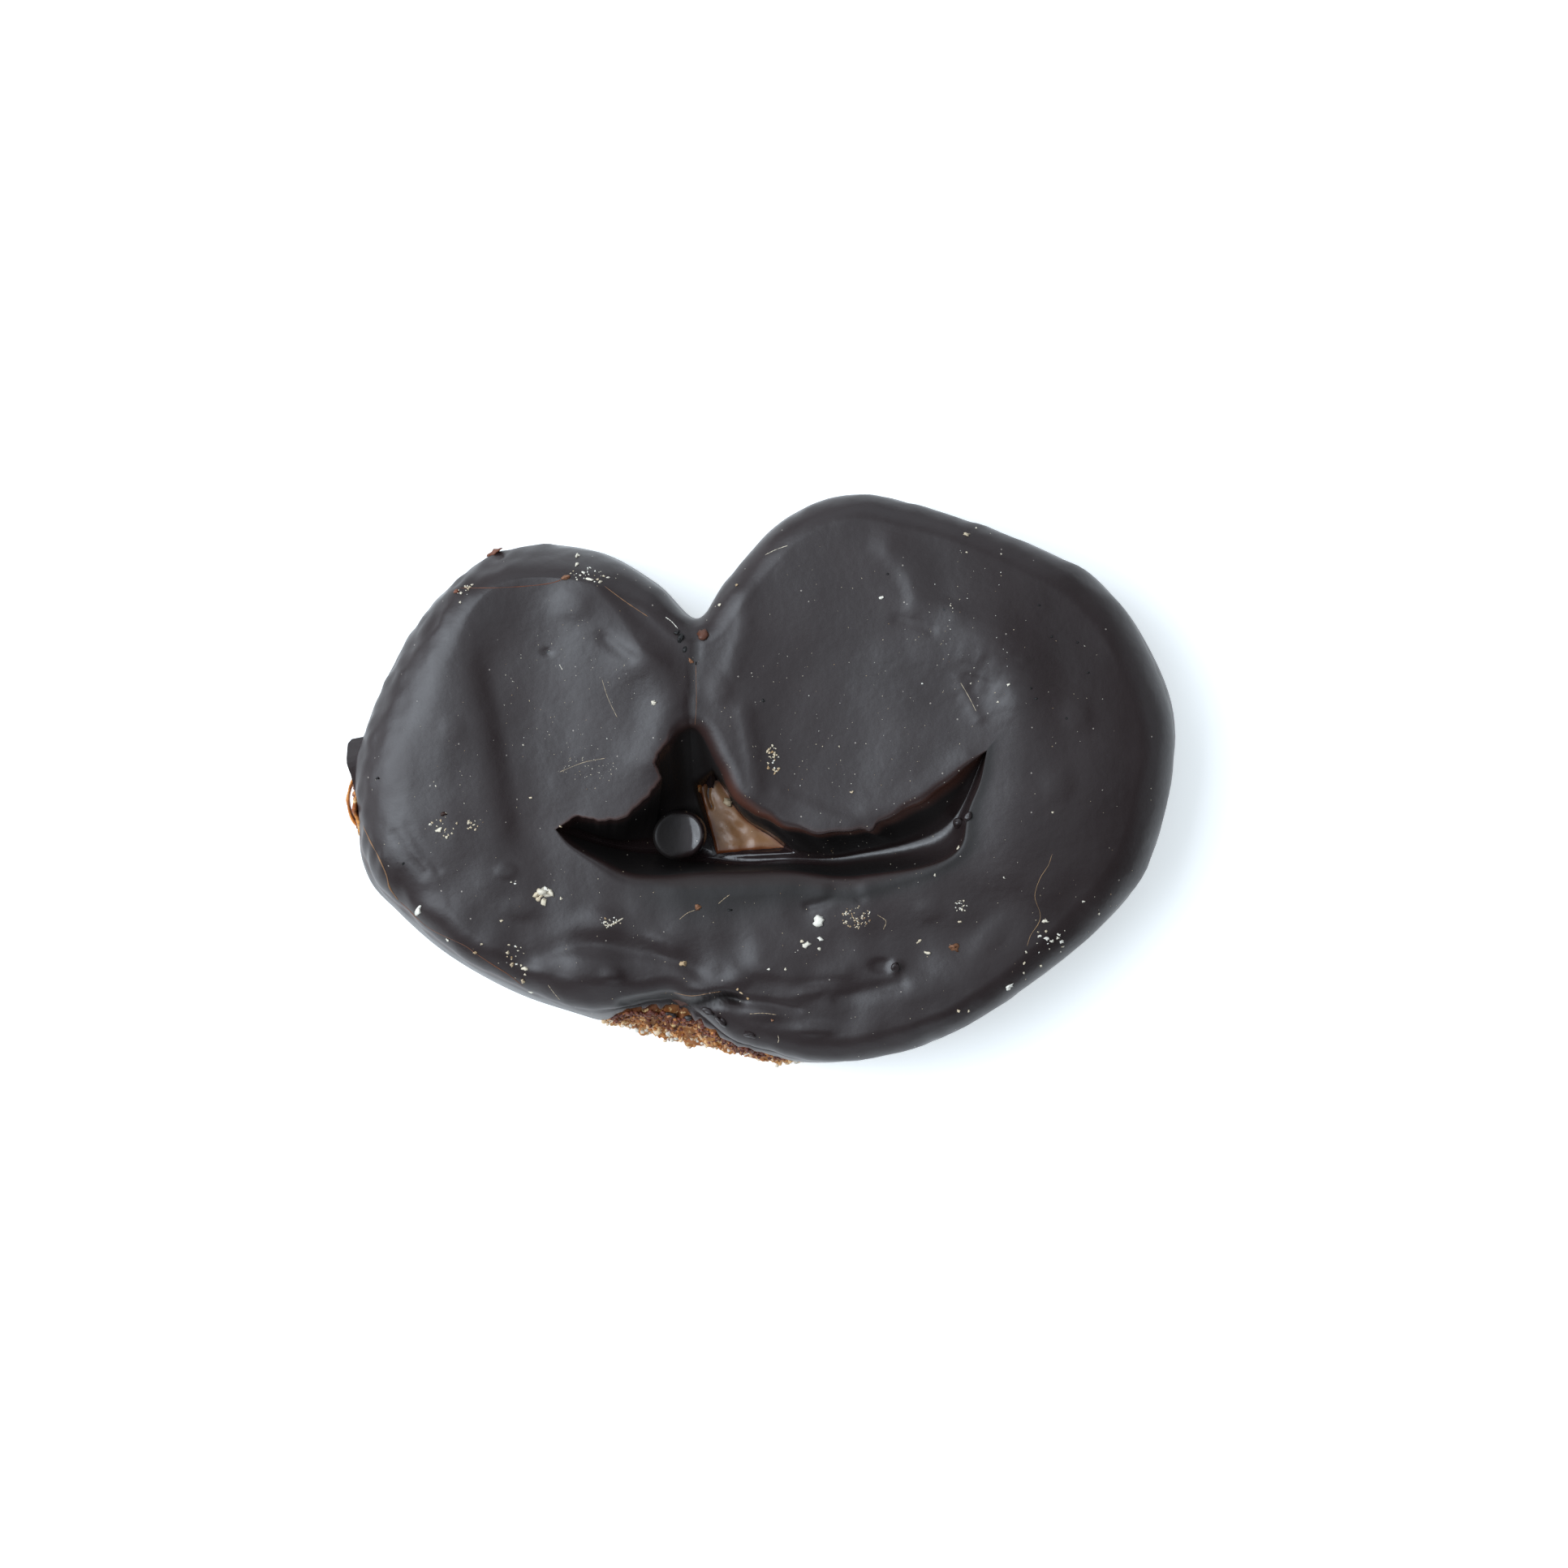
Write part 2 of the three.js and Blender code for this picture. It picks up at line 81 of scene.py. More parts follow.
def mix(a, b, t):
    """The straight line from a at t = 0 to b at t = 1."""
    return a + (b - a) * t


def ease(start, stop, x):
    """0 before start and 1 after stop, with the smooth step 3t^2 - 2t^3 between them."""
    t = np.clip((x - start) / (stop - start), 0, 1)
    return t * t * (3 - 2 * t)


def bell(x):
    """A hump of height 1: e to the power of minus x squared."""
    return np.exp(-x * x)


def spline(points, t, closed=False):
    """Catmull-Rom curve: each stretch is the cubic whose slope at a point is half the step between
    that point's neighbours. t runs from 0 to 1, as far between any two points as between others."""
    p = np.asarray(points, float)
    count = len(p)
    if closed:
        place = np.mod(t, 1) * count
        knot = np.floor(place).astype(int)
        before, here, there, after = (p[(knot + i) % count] for i in (-1, 0, 1, 2))
    else:
        p = np.vstack([2 * p[0] - p[1], p, 2 * p[-1] - p[-2]])
        place = np.clip(t, 0, 1) * (count - 1)
        knot = np.minimum(np.floor(place).astype(int), count - 2)
        before, here, there, after = (p[knot + i] for i in range(4))
    w = (place - knot)[..., None]
    return 0.5 * (2 * here + (there - before) * w + (2 * before - 5 * here + 4 * there - after) * w**2
                  + (3 * here - 3 * there + after - before) * w**3)


def heading(points, t, closed=False, step=1e-3):
    """Unit direction of the curve in plan, from the points a step before and after t."""
    ahead = spline(points, t + step, closed)[..., :2]
    behind = spline(points, t - step, closed)[..., :2]
    return unit(ahead - behind)


def unit(v):
    """Each vector divided by its length."""
    return v / np.maximum(np.linalg.norm(v, axis=-1, keepdims=True), 1e-9)


def raised(place, z):
    """Places in plan at heights z."""
    return np.concatenate([place, np.broadcast_to(z, place.shape[:2])[..., None]], -1)


def right_of(v):
    """Each direction in plan turned a quarter turn to the right."""
    return np.stack([v[..., 1], -v[..., 0]], -1)


def waves(x, y, length, seed, count=14):
    """Even random relief: sine waves of about the same length in random directions, summed and
    scaled to a typical height of 1."""
    rng = np.random.default_rng(seed)
    total = np.zeros(np.broadcast(x, y).shape)
    for _ in range(count):
        angle, phase = rng.uniform(0, 2 * np.pi, 2)
        pull = 2 * np.pi * rng.uniform(0.7, 1.4) / length
        total += np.sin((x * np.cos(angle) + y * np.sin(angle)) * pull + phase)
    return total / np.sqrt(count / 2)


def beside(x, y, points, reach):
    """Distance to a curve in plan and the side it is on: 1 to the left of the curve's direction, -1
    to its right, and between the two round its ends. Places further off than reach only get a
    large distance."""
    t = np.linspace(0, 1, 60)
    path = spline(points, t)[:, :2]
    side = right_of(heading(points, t))
    distance = np.full(x.shape, 1e3)
    leaning = np.ones(x.shape)
    low, high = path.min(0) - reach, path.max(0) + reach
    near = (x > low[0]) & (x < high[0]) & (y > low[1]) & (y < high[1])
    if near.any():
        place = np.stack([x[near], y[near]], -1)
        gap = place[:, None] - path[None]
        nearest = np.argmin((gap**2).sum(-1), 1)
        across = np.take_along_axis(gap, nearest[:, None, None], 1)[:, 0]
        distance[near] = np.linalg.norm(across, axis=-1)
        leaning[near] = -(unit(across) * side[nearest]).sum(-1)
    return distance, leaning


def window_distance(x, y):
    """Signed distance to the four-sided gap in the chocolate, negative inside it; its right side
    is bent inwards."""
    corners = np.array(WINDOW)
    far = np.full(x.shape, -1e3)
    for a, b in zip(corners, np.roll(corners, -1, 0)):
        outside = right_of(unit(b - a))
        far = np.maximum(far, (x - a[0]) * outside[0] + (y - a[1]) * outside[1])
    return far + 1.2 * bell(np.hypot(x + 1.0, y + 4.2) / 3.0)


# Swellings and hollows of the top face: place, radii, turn in degrees and height.
FORMS = [
    (21, 9, 36, 34, 0, 1.9),
    (-27, 8, 22, 26, 0, 0.5),
    (8, 7, 9, 13, 0, -0.9),
    (-37.5, 3, 6, 17, 8, 0.45),
    (31, 12, 8, 15, -18, 0.3),
    (41.5, -1, 12, 16, -16, 2.0),
    (-8, -22, 26, 6, -6, 0.4),
    (-24.0, 22.6, 2.4, 2.0, 0, 0.25),
    (-27.1, 16.5, 0.6, 0.5, 0, -0.22),
    (-39.2, 6.5, 1.6, 1.6, 0, 0.12),
    (-40.5, -7.0, 4.0, 5.0, 20, 0.25),
    (-4.8, 11.6, 1.5, 1.8, 0, 0.2),
    (23.5, 16.8, 4.5, 3.0, -30, 0.25),
    (23.5, 21.8, 3.5, 1.6, -20, 0.2),
    (41.3, 8.2, 1.8, 1.8, 0, 0.16),
    (38.8, -0.7, 1.8, 1.8, 0, 0.16),
    (-32.3, -11.8, 1.4, 1.0, 0, 0.2),
    (-30.7, -16.6, 2.4, 1.4, 0, 0.16),
    (-42.0, -17.0, 2.2, 1.8, 30, 0.2),
    (-20.5, -18.4, 3.8, 2.0, 10, 0.28),
    (-20.3, -24.7, 4.2, 2.3, -8, 0.6),
    (-18.6, -25.2, 1.3, 1.0, 0, 0.22),
    (-11.8, -21.3, 2.4, 1.2, -30, 0.28),
    (-5.5, -26.8, 3.2, 1.2, 10, 0.3),
    (-2.4, -25.6, 1.5, 1.1, 0, 0.3),
    (6.9, -27.3, 2.0, 0.8, 15, 0.3),
    (7.2, -32.2, 2.6, 0.9, 0, 0.3),
    (0.8, -30.2, 2.2, 0.8, 0, 0.25),
    (17.9, -24.1, 0.9, 0.9, 0, 0.3),
    (16.0, -24.0, 1.5, 1.0, 0, -0.3),
    (22.2, -16.8, 1.6, 1.4, 0, 0.16),
    (30.0, -20.2, 2.8, 1.5, 50, 0.2),
    (1.6, -22.5, 2.6, 2.2, 0, 0.25),
    (25.0, -28.0, 10, 4.5, 20, 0.7),
    (6.5, -29.5, 5, 3, 0, 0.35),
]
# The crack in the chocolate behind the bare crust.
CRACK = [
    (-17.4, -28.9), (-11.8, -28.0), (-9.7, -28.9), (-7.1, -28.7), (-4.5, -28.0), (-2.5, -28.3),
]
# Folds in the chocolate: a curve in plan, how wide the fold is to the left and to the right of the
# curve's direction, and its height.
FOLDS = [
    ([(-34.0, 14.0), (-33.2, 10.5), (-32.4, 7.0), (-31.6, 2.5), (-30.8, -2.0), (-30.2, -5.0)],
     8.0, 2.4, -0.7),
    ([(-26.0, 21.0), (-26.3, 15.0), (-26.8, 9.0)], 4.5, 4.0, -0.3),
    ([(-20.5, 24.0), (-17.5, 20.5), (-14.8, 16.5)], 1.7, 5.5, 0.65),
    ([(-14.8, 16.5), (-12.6, 14.5), (-11.5, 11.5), (-11.4, 9.0), (-12.2, 6.0), (-13.2, 3.0)],
     2.4, 3.0, 0.62),
    ([(-19.6, 18.2), (-18.0, 16.9), (-16.4, 15.8)], 0.9, 0.9, -0.22),
    ([(-47.0, -7.0), (-45.2, -9.8), (-43.0, -12.0)], 0.6, 0.6, -0.14),
    ([(-45.0, -6.0), (-43.4, -8.8), (-41.2, -11.6)], 0.6, 0.6, -0.12),
    ([(-2.2, 25.0), (-2.3, 18.5), (-2.2, 14.0), (-1.9, 10.0), (-0.9, 6.4), (-0.2, 2.5), (0.4, -2.0)],
     3.8, 4.4, 0.1),
    ([(-1.8, 24.0), (-1.9, 19.5), (-2.8, 16.5), (-3.2, 14.5)], 1.6, 1.2, 0.2),
    ([(-1.8, 8.5), (-1.2, 5.3), (-0.6, 2.2), (-0.2, -1.2)], 1.5, 1.0, 0.2),
    ([(3.0, -1.9), (6.2, -3.3), (9.2, -4.6), (12.2, -5.6)], 0.9, 1.2, 0.16),
    ([(14.6, -4.2), (21.0, -2.2), (27.0, 2.6)], 1.8, 1.4, 0.22),
    ([(17.0, 29.4), (19.1, 27.0), (20.3, 24.0), (20.2, 22.6)], 3.0, 1.2, 0.3),
    ([(18.1, 20.7), (20.3, 20.2), (22.5, 19.4)], 0.6, 0.7, -0.14),
    ([(26.4, 20.4), (28.6, 18.4), (31.2, 15.9), (33.0, 13.0), (33.9, 10.4)], 4.0, 3.0, 0.4),
    ([(30.4, 17.2), (32.6, 14.4), (33.6, 12.4)], 7.0, 6.0, 0.7),
    ([(34.4, 10.4), (35.2, 6.5), (34.6, 2.0), (33.4, -3.0), (31.5, -8.0)], 4.5, 3.2, 0.18),
    ([(26.0, 12.9), (27.4, 10.2), (28.5, 7.9)], 0.6, 0.8, 0.14),
    ([(-29.0, -23.2), (-25.0, -21.6), (-20.5, -21.0), (-16.0, -21.9), (-11.0, -22.9), (-8.0, -24.4)],
     1.8, 1.1, -0.38),
    (CRACK, 0.5, 0.7, -1.2),
    ([(-3.5, -28.2), (1.3, -28.8), (5.0, -29.4)], 0.6, 0.8, -0.25),
    ([(10.5, -28.1), (14.5, -27.2), (18.5, -26.3)], 1.0, 1.0, -0.28),
    ([(-3.0, -24.2), (4.8, -25.2), (11.2, -24.8)], 1.4, 1.0, 0.2),
    ([(6.6, -16.3), (8.5, -15.8), (10.2, -15.0), (12.6, -14.8), (13.2, -15.3)], 0.6, 0.6, -0.25),
]
# The crease between the rolls, from the slit up to the cleft: a deep, narrow notch in a shallow,
# wider hollow.
CREASE = dict(x=-8.0, start=5.0, stop=30.0, deep=0.8, wide=0.22, shallow=0.1, wider=3.0)


def top_height(x, y):
    """Height of the top face: the band's height, plus each form (a bell over its turned ellipse),
    plus each fold (a bell over the distance to its curve), less the crease's notch and its wider
    bell and a slow fall to the right, plus slow and quick waves and a wrinkled patch."""
    z = np.full(x.shape, BAND_TOP)
    for cx, cy, rx, ry, turn, rise in FORMS:
        c, s = np.cos(np.radians(turn)), np.sin(np.radians(turn))
        across = ((x - cx) * c + (y - cy) * s) / rx
        along = ((y - cy) * c - (x - cx) * s) / ry
        z += rise * np.exp(-(across**2 + along**2) ** 1.5)
    for points, to_left, to_right, rise in FOLDS:
        distance, leaning = beside(x, y, points, 2.6 * max(to_left, to_right))
        z += rise * bell(distance / mix(to_right, to_left, 0.5 + 0.5 * leaning))
    k = CREASE
    reach = ease(k["start"], k["start"] + 4, y) * (1 - ease(k["stop"], k["stop"] + 5, y))
    bend = 0.3 * np.sin(y / 2.1) + 0.12 * np.sin(y / 0.9 + 1) - 0.3
    z -= reach * k["deep"] * np.exp(-np.hypot(x - k["x"] - bend, 0.3) / k["wide"])
    z -= reach * k["shallow"] * bell((x - k["x"]) / k["wider"])
    z -= 1.9 * ease(24, 58, x) * ease(-44, -16, y)
    front = ease(-8, -20, y)
    wrinkled = bell(np.hypot((x - 29.8) / 4, (y - 13.5) / 4.5))
    z += (0.05 + 0.06 * front) * waves(x, y, 13, 1) + (0.012 + 0.03 * front) * waves(x, y, 6, 2)
    return z + 0.035 * wrinkled * waves(x, y, 1.7, 5)


def wall_run(x, y):
    """How far the side leans out between shoulder and foot: more at the lower left, at the right
    and at the bare front."""
    left = 1.0 * bell(np.hypot(x + 46, y + 19) / 12) + 0.9 * bell(np.hypot(x + 31, y + 28) / 9)
    right = 0.7 * bell(np.hypot(x - 53, y - 12) / 9)
    front = (5.3 * bell((x + 11.8) / 7.5) + 1.1 * bell((x - 1) / 5)) * ease(-20, -28, y)
    return WALL_RUN + left + right + front


def shoulder_size(x, y):
    """Width, height and power of the shoulder: broad at the left and the right, steep at the
    front, and nearly a flat bevel at the back of the left roll."""
    left = ease(-36, -50, x) * ease(-26, -14, y)
    right = ease(24, 48, x) * ease(-34, -18, y) * ease(40, 24, y)
    bevel = bell(np.hypot(x + 27, y - 31) / 12)
    wide = SHOULDER_WIDE + 4.2 * left + 1.2 * right + 0.8 * bevel
    high = SHOULDER_HIGH + 2.6 * left + 0.6 * right + 2.6 * bevel
    return wide, high, 1.8 + 0.2 * left - 0.5 * bevel


def rim_lift(x, y):
    """How high the chocolate's rim hangs above its usual height, where it bares the dough."""
    front = (y < -20) * ease(-22, -18, x) * (1 - ease(0, 10.5, x))
    left = (x < -40) * ease(-9, -5.5, y) * (1 - ease(0.5, 4, y))
    ragged = 0.35 * np.sin(2.9 * x) + 0.25 * np.sin(5.3 * x + 1) + 0.2 * np.sin(9.1 * x)
    return (10.4 + ragged) * front + 8.6 * left


def station(u, sink):
    """Places that every surface shares at u round the pastry, sunk by sink under the chocolate's
    outside: the lip's edge, the slit's floor, the foot, and the plan directions out of them."""
    back = u > 0.5
    s = np.where(back, 2 - 2 * u, 2 * u)
    taper = np.sqrt(np.maximum(np.sin(np.pi * s), 0))
    blend = ease(0.94, 1, s) - ease(0.06, 0, s)
    end = heading(FLOOR, np.clip(s, 0.002, 0.998)) * blend[:, None]
    inner = np.clip(s, 0.001, 0.999)
    to_back = right_of(heading(BACK_LIP, inner, step=0.03)) * -1
    to_front = right_of(heading(FRONT_LIP, inner, step=0.03))
    away = np.where(back[:, None], to_back, to_front)
    away = unit(away * (1 - np.abs(blend))[:, None] + end)
    edge = np.where(back[:, None], spline(BACK_LIP, s), spline(FRONT_LIP, s))
    ragged = back * (ease(0.03, 0.1, s) * (1 - ease(0.38, 0.46, s)))
    jag = ragged * (0.25 * np.sin(s * 61) + 0.14 * np.sin(s * 111 + 2) + 0.06 * np.sin(s * 250))
    drip = back * 1.5 * bell((s - 0.852) / 0.006) + back * 0.2 * np.sin(s * 160) * ease(0.7, 0.75, s)
    pinch = ~back * 3.2 * bell((s - 0.94) / 0.035)
    edge = edge + away * (sink - (jag + drip + pinch) * taper)[:, None]
    bottom = spline(FLOOR, s)
    bottom[:, :2] += end * sink
    turned = (1.9 * bell((u - 0.53) / 0.07) - 1.5 * bell((u - 0.4) / 0.055)) / len(RIM)
    foot = spline(RIM, u + turned, True)
    out = right_of(heading(RIM, u + turned, True, 0.03))
    x, y = foot[:, 0], foot[:, 1]
    wide, high, power = shoulder_size(x, y)
    foot = foot - out * sink
    valley = 1.6 * ease(0.42, 0.47, s) * ease(0.54, 0.5, s) + 2.0 * ease(0.5, 0.54, s) * ease(0.82, 0.7, s)
    soft_back = 0.45 + valley + 2.0 * ease(0.84, 0.92, s)
    soft_front = mix(0.8, 2.0, ease(0.08, 0.3, s)) - 1.4 * ease(0.78, 0.9, s)
    lip = np.maximum(np.where(back, soft_back, soft_front) - sink, 0.25) * taper
    lip_run = lip * np.where(back, 1.0, mix(1.0, 1.6, ease(0.35, 0.5, s)))
    return dict(sink=sink, s=s, back=back, taper=taper, edge=edge, away=away, bottom=bottom,
                out=out, foot=foot, run=wall_run(x, y), lift=rim_lift(x, y), lip=lip,
                lip_run=lip_run, wide=wide - sink, high=high - sink, power=power[:, None])


def top_rows(k, share):
    """Rows from the lip straight across the top face to the shoulder, at its height less sink."""
    start = k["edge"] + k["away"] * k["lip_run"][:, None]
    stop = k["foot"] - k["out"] * (k["run"] + k["wide"])[:, None]
    place = mix(start[:, None], stop[:, None], share[None, :, None])
    return raised(place, top_height(place[..., 0], place[..., 1]) - k["sink"])


def slit_rows(k, top, share, dip):
    """Rows from the slit's floor up to its lip. Across and down follow a superellipse: straight
    walls under the rolls and at the left, a round channel at the front of the right half."""
    middle = ease(0.35, 0.48, k["s"]) * ease(0.75, 0.6, k["s"])
    power = np.where(k["back"], 1.3, 1.3 + 0.8 * ease(0.35, 0.5, k["s"]) + 0.9 * middle)[:, None]
    angle = np.pi / 2 * (1 - share)[None]
    across = 1 - np.cos(angle) ** (2 / power)
    down = np.sin(angle) ** (2 / power)
    high = (top[:, 0, 2] - k["lip"])[:, None]
    low = np.minimum(k["bottom"][:, 2:3] - k["sink"], high - 0.02)
    place = mix(k["edge"][:, None], k["bottom"][:, None, :2], across[..., None])
    z = mix(high, low, down)
    inside = (1 - ease(-0.4, 0.6, window_distance(place[..., 0], place[..., 1]))) * k["taper"][:, None]
    z = mix(z, np.minimum(z, WEB_TOP - dip), inside)
    return raised(place, z)


def lip_rows(k, top, share):
    """Quarter ellipse from the slit's wall to the top face."""
    angle = np.pi / 2 * share[None]
    reach = k["lip_run"][:, None] * (1 - np.cos(angle))
    place = k["edge"][:, None] + k["away"][:, None] * reach[..., None]
    z = top[:, :1, 2] - k["lip"][:, None] * (1 - np.sin(angle))
    return raised(place, z)


def bumped(k, place, z, share):
    """Pushes places in or out by a share of small waves, strongest on the left roll's outline."""
    x, y = place[..., 0] + 0.5 * z, place[..., 1] - 0.7 * z
    rough = mix(0.4, 1.0, ease(-32, -50, place[..., 0] - 0.5 * place[..., 1]))
    bump = rough * (0.1 * waves(x, y, 8, 3) + 0.07 * waves(x, y, 3.6, 4))
    return raised(place + k["out"][:, None] * (bump * share)[..., None], z)


def shoulder_rows(k, share):
    """Rows from the top face to the side over a quarter of a superellipse, under the top face's
    own height carried outwards."""
    angle = np.pi / 2 * share[None]
    wide, high = k["wide"][:, None], k["high"][:, None]
    reach = wide * np.sin(angle) ** (2 / k["power"])
    stop = k["foot"] - k["out"] * (k["run"] + k["wide"])[:, None]
    place = stop[:, None] + k["out"][:, None] * reach[..., None]
    z = top_height(place[..., 0], place[..., 1]) - k["sink"]
    z = z - high * (1 - np.cos(angle) ** (2 / k["power"]))
    return bumped(k, place, z, reach / wide)


def side_rows(k, start, z, bulge=0.0):
    """Rows down the side at heights z: the lean grows as the fall to the power 0.6, so the side
    bulges, and under the foot it tucks back in."""
    fall = np.clip((start - z) / (start - FOOT_Z), 0, 1)
    x, y = k["foot"][:, None, 0], k["foot"][:, None, 1]
    nub = (x < -45) * 2.7 * ease(5.9, 4.7, y) * ease(-1.8, 4.6, y) * bell((z - 10.5) / 2.2)
    reach = k["run"][:, None] * (1 - fall**0.6) + FOOT_TUCK * ease(FOOT_Z, RIM_Z, z) - bulge - nub
    place = k["foot"][:, None] - k["out"][:, None] * reach[..., None]
    return bumped(k, place, z, 1 - fall)


def faces_between(lines, after):
    """Four-sided faces between neighbouring points of each line and the same of the line after."""
    return np.stack([lines[:, :-1], lines[:, 1:], after[:, 1:], after[:, :-1]], -1).reshape(-1, 4)


def ring_piece(name, grid, **attributes):
    """Joins a grid of points, columns round the pastry by rows along each column, to a closed
    piece. Columns that mirror each other share the points over the slit's floor, and points that
    fall together are merged."""
    columns, rows = grid.shape[:2]
    index = np.arange(columns * rows).reshape(columns, rows)
    quads = faces_between(index, np.roll(index, -1, 0))
    values = {label: np.broadcast_to(value, (columns, rows)) for label, value in attributes.items()}
    return piece(name, grid.reshape(-1, 3), quads, merge=2e-6, **values)


def piece(name, points, faces, merge=0.0, **attributes):
    """A mesh object from points in millimetres and faces of one size, smooth shaded."""
    mesh = bpy.data.meshes.new(name)
    mesh.vertices.add(len(points))
    mesh.vertices.foreach_set("co", (np.asarray(points) * 0.001).astype(np.float32).ravel())
    size = faces.shape[1]
    mesh.loops.add(faces.size)
    mesh.loops.foreach_set("vertex_index", faces.astype(np.int32).ravel())
    mesh.polygons.add(len(faces))
    mesh.polygons.foreach_set("loop_start", np.arange(0, faces.size, size, dtype=np.int32))
    mesh.update(calc_edges=True)
    for label, values in attributes.items():
        layer = mesh.attributes.new(label, "FLOAT", "POINT")
        layer.data.foreach_set("value", np.asarray(values, np.float32).ravel())
    if merge:
        solid = bmesh.new()
        solid.from_mesh(mesh)
        bmesh.ops.remove_doubles(solid, verts=solid.verts, dist=merge)
        bmesh.ops.dissolve_degenerate(solid, dist=1e-9, edges=solid.edges)
        solid.to_mesh(mesh)
        solid.free()
    mesh.polygons.foreach_set("use_smooth", np.ones(len(mesh.polygons), bool))
    made = bpy.data.objects.new(name, mesh)
    bpy.context.scene.collection.objects.link(made)
    return made


# ---- the dough ----------------------------------------------------------------------------------
# Laminated puff pastry, baked golden brown. The chocolate hides all but its underside, where the
# rolled layers show edge on, and rough crust at the front and the left where the coat has lifted.
LAYER = 1.7  # thickness of a rolled layer
DOUGH_GAP = 0.25  # how much further in the dough lies than the coat is thick
# Place round the pastry: the front half runs from 0 to 0.5, the back half from there to 1.
u = np.arange(COLUMNS) / COLUMNS


def steps(count, first=0, last=1):
    """Evenly spaced numbers from first to last."""
    return np.linspace(first, last, count)


def dough_grid(sink):
    """Rows from the slit's floor over the top, down the side with its crags, and back under to the
    slit. Crags are random waves on steps that repeat down the side; the layers underneath are a
    cosine of the distance from the rim, the crease or the slit, whichever is nearest. Also gives
    the tone of each point, from pale at 0 to brown at 1, and the rows of the bare side."""
    k = station(u, sink)
    top = top_rows(k, steps(24))
    slit = slit_rows(k, top, steps(12)[:-1], 2.2)
    lip = lip_rows(k, top, steps(3)[:-1])
    shoulder = shoulder_rows(k, steps(8)[1:])
    start = shoulder[:, -1:, 2]
    ledge = np.maximum(RIM_Z + k["lift"] - 0.3, 1.6)[:, None]
    covered = side_rows(k, start, mix(start, ledge, steps(6)[None, 1:]))
    down = steps(44)[None]
    z = mix(np.maximum(ledge - 0.25, 1.0), 1.0, down)
    walk = np.cumsum(np.linalg.norm(np.diff(k["foot"], axis=0, append=k["foot"][:1]), axis=1))[:, None]
    flaky = (z + 0.5 * waves(walk, 0, 7, 21)) / 1.3 % 1
    crag = 0.3 * waves(walk, z, 2.6, 22) + 0.16 * waves(walk, z, 0.9, 23) + 0.4 * flaky - 0.45
    share = ease(1.5, 5, k["lift"])[:, None]
    bare = side_rows(k, start, z, share * (sink - 0.15 + crag * ease(0, 0.12, down)))
    turn = steps(6, 0.2, 1)[None] * np.pi / 2
    base = bare[:, -1:, :2] - k["out"][:, None] * (1 - np.cos(turn))[..., None]
    base = raised(base, 1 - np.sin(turn))
    inwards = steps(92)[None, 1:]
    under = mix(base[:, -1:, :2], k["bottom"][:, None, :2], inwards[..., None] ** 0.85)
    x, y = under[..., 0], under[..., 1]
    rim = spline(RIM, steps(400), True)[None]
    near = np.stack([np.sqrt(((under[j][:, None] - rim) ** 2).sum(-1).min(-1)) for j in range(COLUMNS)])
    slit_line = beside(x, y, FLOOR, 40)[0]
    crease = beside(x, y, [(-8.0, 21.2), (-8.6, 14.0), (-8.0, 7.9), (-8.0, -8.0)], 40)[0]
    inward = np.minimum(np.minimum(near, slit_line + 2), crease + 2) + 0.45 * waves(x, y, 9, 24)
    layer = 0.5 - 0.5 * np.cos(2 * np.pi * inward / LAYER)
    recess = ease(0, 0.06, inwards) * (0.34 * layer + 0.12 * np.abs(waves(x, y, 3, 25)))
    under = raised(under, np.minimum(recess, 0.6))
    ridges = 0.5 + 0.5 * np.tanh(1.5 * crag)
    side_tone = np.clip(ridges * mix(0.3, 0.9, ease(3, 8, z)) + 0.5 * ease(6, 10, z), 0, 1)
    # The dough under the coat, shoulder and covered rows, gets tone 0.9: painted shade where it shows in
    # the gap under the chocolate's rim.
    parts = [(slit, 0), (lip, 0), (top, 0), (shoulder, 0.9), (covered, 0.9), (bare, side_tone),
             (base, 0), (under, layer)]
    tone = np.concatenate([np.broadcast_to(value, rows.shape[:2]) for rows, value in parts], 1)
    return np.concatenate([rows for rows, _ in parts], 1), tone, bare


dough_points, dough_tone, bare_side = dough_grid(COAT + DOUGH_GAP)
dough = ring_piece("dough", dough_points, layer=dough_tone)


def linear(colour):
    """sRGB hex to a linear colour with alpha 1."""
    rgb = np.array([int(colour[i:i + 2], 16) for i in (1, 3, 5)]) / 255
    rgb = np.where(rgb <= 0.04045, rgb / 12.92, ((rgb + 0.055) / 1.055) ** 2.4)
    return (*rgb.tolist(), 1.0)


def per_mm(size):
    """Texture scale that repeats about every size millimetres on coordinates in metres."""
    return 1000 / size


def node(tree, kind, inputs=None, **settings):
    """Adds a node with its settings, and sets or links its inputs by name or number."""
    made = tree.nodes.new("ShaderNode" + kind)
    for key, value in settings.items():
        setattr(made, key, value)
    for key, value in (inputs or {}).items():
        if isinstance(value, bpy.types.NodeSocket):
            tree.links.new(value, made.inputs[key])
        else:
            made.inputs[key].default_value = value
    return made


def finish_of(name):
    """A new material: its node tree and its own shader."""
    made = bpy.data.materials.new(name)
    made.use_nodes = True
    return made, made.node_tree, made.node_tree.nodes["Principled BSDF"]


def blend_colours(tree, factor, a, b):
    """Colour a turning to colour b with the factor."""
    mixer = node(tree, "Mix", data_type="RGBA")
    for key, value in (("Factor", factor), ("A", a), ("B", b)):
        socket = [i for i in mixer.inputs if i.name == key and i.enabled][0]
        if isinstance(value, bpy.types.NodeSocket):
            tree.links.new(value, socket)
        else:
            socket.default_value = value
    return [o for o in mixer.outputs if o.enabled][0]


